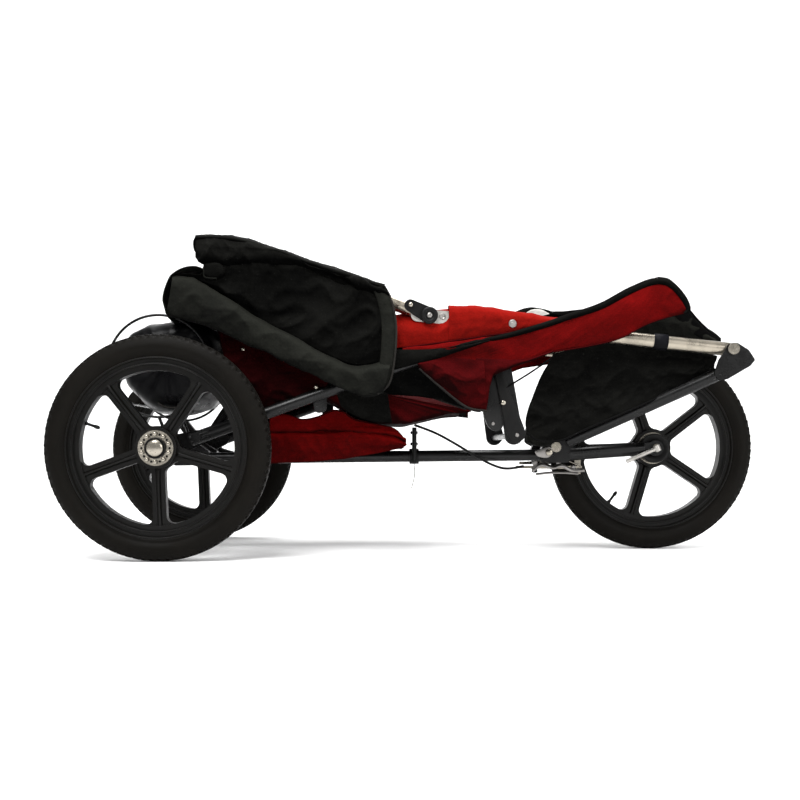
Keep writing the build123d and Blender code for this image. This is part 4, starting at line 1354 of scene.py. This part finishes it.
def seam_binding(side, word):
    """Black bias tape over the wing's top seam, widening towards its tip."""
    line = (
        (0.004, 0.3755), (0.05, 0.381), (0.105, 0.3925), (0.16, 0.404), (0.217, 0.42), (0.266, 0.4365),
        (0.324, 0.456), (0.378, 0.4845), (0.419, 0.5), (0.4475, 0.4965), (0.4705, 0.4745), (0.482, 0.452),
        (0.4765, 0.442),
    )
    widths = (1.0, 2.2, 3.6, 4.4, 5.0, 5.4, 5.8, 6.0, 6.0, 5.8, 5.4, 4.6, 3.0)
    spine = [Vector((x, 0, z)) for x, z in line]
    rails = [[], [], []]
    for i, point in enumerate(spine):
        ahead = spine[min(i + 1, len(spine) - 1)] - spine[max(i - 1, 0)]
        normal = Vector((-ahead.z, 0, ahead.x)).normalized()
        for k, (share, lift) in enumerate(((-1, 3.4), (0, 5.4), (1, 3.4))):
            place = point + normal * widths[i] * MM * share
            rails[k].append(Vector((place.x, side * (PANEL_Y + lift * MM), place.z)))
    patch(
        f"seam_binding_{word}", rails, 150, 8, BLACK, "main_frame",
        crease=((0.03, 0.6, 2.1), (0.008, 0.2, 6.2)), thick=1.4 * MM,
    )


def shadow_fold(side, word):
    """Black sheet below the seam at the hinge end of the wing: painted shadow of the fold there."""
    top = on_side(
        side, PANEL_Y + 4.6 * MM,
        ((-0.068, 0.378), (0.01, 0.378), (0.05, 0.3825), (0.088, 0.388), (0.124, 0.395)),
    )
    low = on_side(
        side, PANEL_Y + 4.0 * MM,
        ((-0.068, 0.336), (-0.003, 0.3535), (0.034, 0.363), (0.078, 0.378), (0.124, 0.3935)),
    )
    patch(
        f"wing_shadow_{word}", (low, top), 70, 20, BLACK, "main_frame",
        crown=bulge(side * 2 * MM),
        crease=((0.03, 1.4, 8.8), (0.011, 0.4, 4.1)), thick=1.6 * MM,
    )


COVER_Y = 0.2278
COVER_BOLT_Y = 0.229
EYELET_Y = 0.2166


def hinge_details(side, word):
    """Round pivot cover with its bolt, lever rivet and plate eyelet on one folding hinge."""
    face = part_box(f"hinge_lever_{word}")[1 if side > 0 else 0].y
    turned(
        f"pivot_cover_{word}", Vector((HINGE.x, side * COVER_Y, HINGE.z)), (0, side, 0),
        mm((-6, 15.2), (0.4, 15.2), (1.6, 13.8), (1.8, 8.0), (1.2, 7.6), (1.2, 1)),
        PLASTIC, "main_frame", 48,
    )
    bolt_head(
        f"pivot_bolt_{word}", Vector((HINGE.x, side * COVER_BOLT_Y, HINGE.z)), side, 5.2 * MM, 3 * MM,
        "main_frame", LEVER,
    )
    bolt_head(
        f"lever_rivet_{word}", Vector((-0.0185, face, 0.459)), side, 4.2 * MM, 2.2 * MM, "handlebar",
    )
    turned(
        f"plate_eyelet_{word}", Vector((0.0395, side * EYELET_Y, 0.4385)), (0, side, 0),
        mm((-1, 6.2), (1.0, 6.0), (1.4, 4.2), (0.2, 3.6), (0.2, 0.5)),
        LEVER, "main_frame", 32,
    )


STRAP_X = 0.438


def strap_loop(side, word):
    """Webbing loop round the main tube near its front end."""
    at = Vector((STRAP_X, side * TUBE_Y, tube_z(STRAP_X)))
    axis = Vector((HEAD.x - HINGE.x, 0, HEAD.z - HINGE.z))
    turned(
        f"tube_strap_{word}", at, axis,
        [
            (-13 * MM, TUBE_R + 0.2 * MM), (-12.5 * MM, TUBE_R + 2.0 * MM), (0, TUBE_R + 2.4 * MM),
            (12.5 * MM, TUBE_R + 2.0 * MM), (13 * MM, TUBE_R + 0.2 * MM),
        ],
        WEBBING, "main_frame", 48,
    )


CLAMP_INNER, CLAMP_OUTER = 190 * MM, 194 * MM


def strut_clamp(side, word):
    """Small bracket where the rear strut, seat cloth and basket meet."""
    flat_plate(
        f"strut_clamp_{word}",
        (
            (-0.199, 0.303), (-0.1695, 0.303), (-0.1714, 0.2885), (-0.1732, 0.27), (-0.188, 0.2646),
            (-0.1953, 0.274),
        ),
        side * CLAMP_INNER, side * CLAMP_OUTER, PAINT, "rear_strut",
    )


def hanger_details(side, word):
    """Face plate and bolts of the seat hanger; on the near side also its hook and elastic."""
    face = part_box("seat_hanger")[1].y
    outer = side * (face + 0.4 * MM)
    flat_plate(
        f"hanger_face_{word}",
        (
            (0.136, 0.338), (0.152, 0.338), (0.166, 0.3), (0.182, 0.262), (0.194, 0.226), (0.184, 0.212),
            (0.168, 0.2125), (0.158, 0.232), (0.15, 0.276),
        ),
        outer, side * (face + 3.5 * MM), PLASTIC, "main_frame",
    )
    bolt_head(
        f"hanger_bolt_upper_{word}", Vector((0.153, side * (face + 3.5 * MM), 0.2835)), side, 5.0 * MM,
        3 * MM, "main_frame",
    )
    bolt_head(
        f"hanger_bolt_lower_{word}", Vector((0.1785, side * (face + 3.5 * MM), 0.224)), side, 3.6 * MM,
        2 * MM, "main_frame", LEVER,
    )
    if side < 0:
        flat_plate(
            f"hanger_hook_{word}",
            (
                (0.108, 0.322), (0.113, 0.282), (0.12, 0.252), (0.132, 0.234), (0.15, 0.235),
                (0.156, 0.262), (0.153, 0.3), (0.149, 0.338), (0.128, 0.345),
            ),
            side * (face - 9 * MM), side * (face - 1.5 * MM), PAINT, "main_frame",
        )
        bolt_head(
            f"hook_bolt_{word}", Vector((0.1345, side * (face - 1.0 * MM), 0.245)), side, 3.2 * MM,
            1.6 * MM, "main_frame", LEVER,
        )
        sag = (
            Vector((0.158, side * 0.19, 0.311)), Vector((0.203, side * 0.19, 0.339)),
            Vector((0.246, side * 0.188, 0.3685)),
        )
        tube(f"hanger_elastic_{word}", sag, 1.7 * MM, PIPING, "main_frame", 8, 12)


for side, word in SIDES:
    seam_binding(side, word)
    shadow_fold(side, word)
    hinge_details(side, word)
    strap_loop(side, word)
    strut_clamp(side, word)
    hanger_details(side, word)


def brake_line():
    """Brake cable from the caliper to its guide post, on one smooth curve."""
    route = (
        (0.209, -0.034, 0.1648), (0.178, -0.057, 0.1575), (0.143, -0.083, 0.167),
        (0.105, -0.093, 0.188), (0.064, -0.092, 0.213), (0.027, -0.088, 0.233),
        (-0.007, -0.083, 0.2445),
    )
    curve = bpy.data.curves.new("brake_line", "CURVE")
    curve.dimensions = "3D"
    curve.bevel_depth = 2.5 * MM
    curve.bevel_resolution = 4
    spline = curve.splines.new("NURBS")
    spline.points.add(len(route) - 1)
    for point, place in zip(spline.points, route):
        point.co = (*place, 1)
    spline.order_u = 3
    spline.use_endpoint_u = True
    spline.resolution_u = 12
    curve.materials.append(PLASTIC)
    obj = bpy.data.objects.new("brake_line", curve)
    bpy.context.scene.collection.objects.link(obj)
    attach(obj, "base")
    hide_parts("brake_cable")


brake_line()


def brake_parts():
    """Bolts, arms, cable clamp and spring of the rim brake on the near fork blade."""
    lo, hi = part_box("caliper_arm_right")
    centre = (lo + hi) / 2
    near = lo.y - 1 * MM
    bolts = (-0.26, 0.18, 6.0), (0.12, 0.22, 4.4), (0.36, -0.1, 5.2)
    for i, (dx, dz, radius) in enumerate(bolts):
        place = Vector((centre.x + dx * (hi.x - lo.x), near, centre.z + dz * (hi.z - lo.z)))
        turned(
            f"brake_bolt_{i}", place, (0, -1, 0),
            [
                (-3 * MM, radius * MM), (2.5 * MM, radius * MM), (3.2 * MM, radius * 0.7 * MM),
                (3.2 * MM, 0.5 * MM),
            ],
            LEVER, "base", 6, smooth=False,
        )
    upper = (
        (0.226, 0.157), (0.2435, 0.168), (0.266, 0.162), (0.283, 0.166), (0.303, 0.157), (0.328, 0.157),
    )
    under = ((0.2324, 0.149), (0.262, 0.152), (0.29, 0.152), (0.316, 0.15))
    for word, line, radius in (("upper", upper, 4.6), ("under", under, 2.8)):
        tube(
            f"brake_arm_{word}", [Vector((x, near - 5 * MM, z)) for x, z in line], radius * MM,
            LEVER, "base", 12, 10, flat=0.7,
        )
    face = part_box("link_bolt_right")[0].y
    flat_plate(
        "brake_clamp",
        ((0.222, 0.193), (0.236, 0.199), (0.251, 0.202), (0.257, 0.191), (0.247, 0.182), (0.229, 0.184)),
        face, face + 3 * MM, LEVER, "base",
    )
    bolt_head("brake_clamp_bolt", Vector((0.2497, face, 0.1921)), -1, 7.0 * MM, 4 * MM, "base")
    spring = [
        Vector((lo.x, near + 2 * MM, hi.z - 2 * MM)), Vector((centre.x, near - 3 * MM, hi.z + 5 * MM)),
        Vector((hi.x - 4 * MM, near + 1 * MM, centre.z)),
    ]
    tube("brake_spring", spring, 1.2 * MM, CHROME, "base", 8, 10)


brake_parts()


def guide_clips():
    """Clips that tie the brake cable to its post, and the tail of a cable tie."""
    lo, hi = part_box("cable_guide")
    middle = (lo + hi) / 2
    for i, share in enumerate((0.55, 0.86)):
        height = lo.z + share * (hi.z - lo.z)
        turned(
            f"guide_clip_{i}", Vector((middle.x, middle.y, height - 3 * MM)), (0, 0, 1),
            mm((0, 6), (1, 7.4), (5, 7.4), (6, 6)),
            PLASTIC, "base", 20,
        )
    tail = [
        Vector((middle.x, middle.y, lo.z + 2 * MM)),
        Vector((middle.x + 1 * MM, middle.y, lo.z - 22 * MM)),
        Vector((middle.x - 5 * MM, middle.y, lo.z - 48 * MM)),
    ]
    tube("tie_tail", tail, 0.8 * MM, PLASTIC, "base", 8, 10)


guide_clips()


# ------------------------------------------------------ floor, light, camera
def lighting():
    """Even white studio: bright surround, a soft key above the camera, a fill and a top lamp."""
    world = bpy.data.worlds.new("studio")
    bpy.context.scene.world = world
    world.use_nodes = True
    shade = world.node_tree.nodes["Background"]
    shade.inputs["Color"].default_value = (1, 1, 1, 1)
    shade.inputs["Strength"].default_value = 0.75
    for name, place, aim, size, power in (
        ("key", (-0.8, -2.2, 2.6), (0, 0, 0.25), 1.6, 110),
        ("fill", (1.9, -2.0, 1.1), (0.1, 0, 0.25), 1.4, 30),
        ("top", (0.1, 0.2, 2.4), (0, 0, 0.2), 1.8, 75),
    ):
        lamp = bpy.data.lights.new(name, "AREA")
        lamp.shape = "DISK"
        lamp.size = size
        lamp.energy = power
        obj = bpy.data.objects.new(name, lamp)
        bpy.context.scene.collection.objects.link(obj)
        obj.location = place
        obj.rotation_euler = (Vector(aim) - Vector(place)).to_track_quat("-Z", "Y").to_euler()


def floor():
    """Pale floor that runs up into a backdrop."""
    mat, tree, shader = new_material("pale_floor")
    grain = noise_node(tree, coords(tree), 300, 2)
    tree.links.new(
        ramp(tree, grain, ((0.3, (0.93,) * 3), (0.7, (0.96,) * 3))), shader.inputs["Base Color"],
    )
    shader.inputs["Roughness"].default_value = 0.9
    verts, faces = [], []
    profile = [(-6, 0), (1.2, 0), (1.8, 0.05), (2.3, 0.3), (2.6, 0.9), (2.7, 4.5)]
    for y, z in profile:
        verts += [(-7, y, z), (7, y, z)]
    for i in range(len(profile) - 1):
        faces.append((2 * i, 2 * i + 1, 2 * i + 3, 2 * i + 2))
    obj = make("studio_floor", verts, faces, mat)


LENS_MM, SENSOR_MM = 55.8, 36
SHIFT_X, SHIFT_Y = 0.035, 0.1296
CAMERA_PLACE = (-0.0886, -2.477, 0.199)
CAMERA_TILT = 87.46


def camera():
    """Long lens at the photograph's side view; the tilt is measured from straight down."""
    lens = bpy.data.cameras.new("camera")
    lens.lens = LENS_MM
    lens.sensor_width = SENSOR_MM
    lens.shift_x = SHIFT_X
    lens.shift_y = SHIFT_Y
    obj = bpy.data.objects.new("camera", lens)
    bpy.context.scene.collection.objects.link(obj)
    obj.location = CAMERA_PLACE
    obj.rotation_euler = (math.radians(CAMERA_TILT), 0, 0)
    bpy.context.scene.camera = obj


lighting()
floor()
camera()
bpy.context.scene.view_settings.view_transform = "Standard"
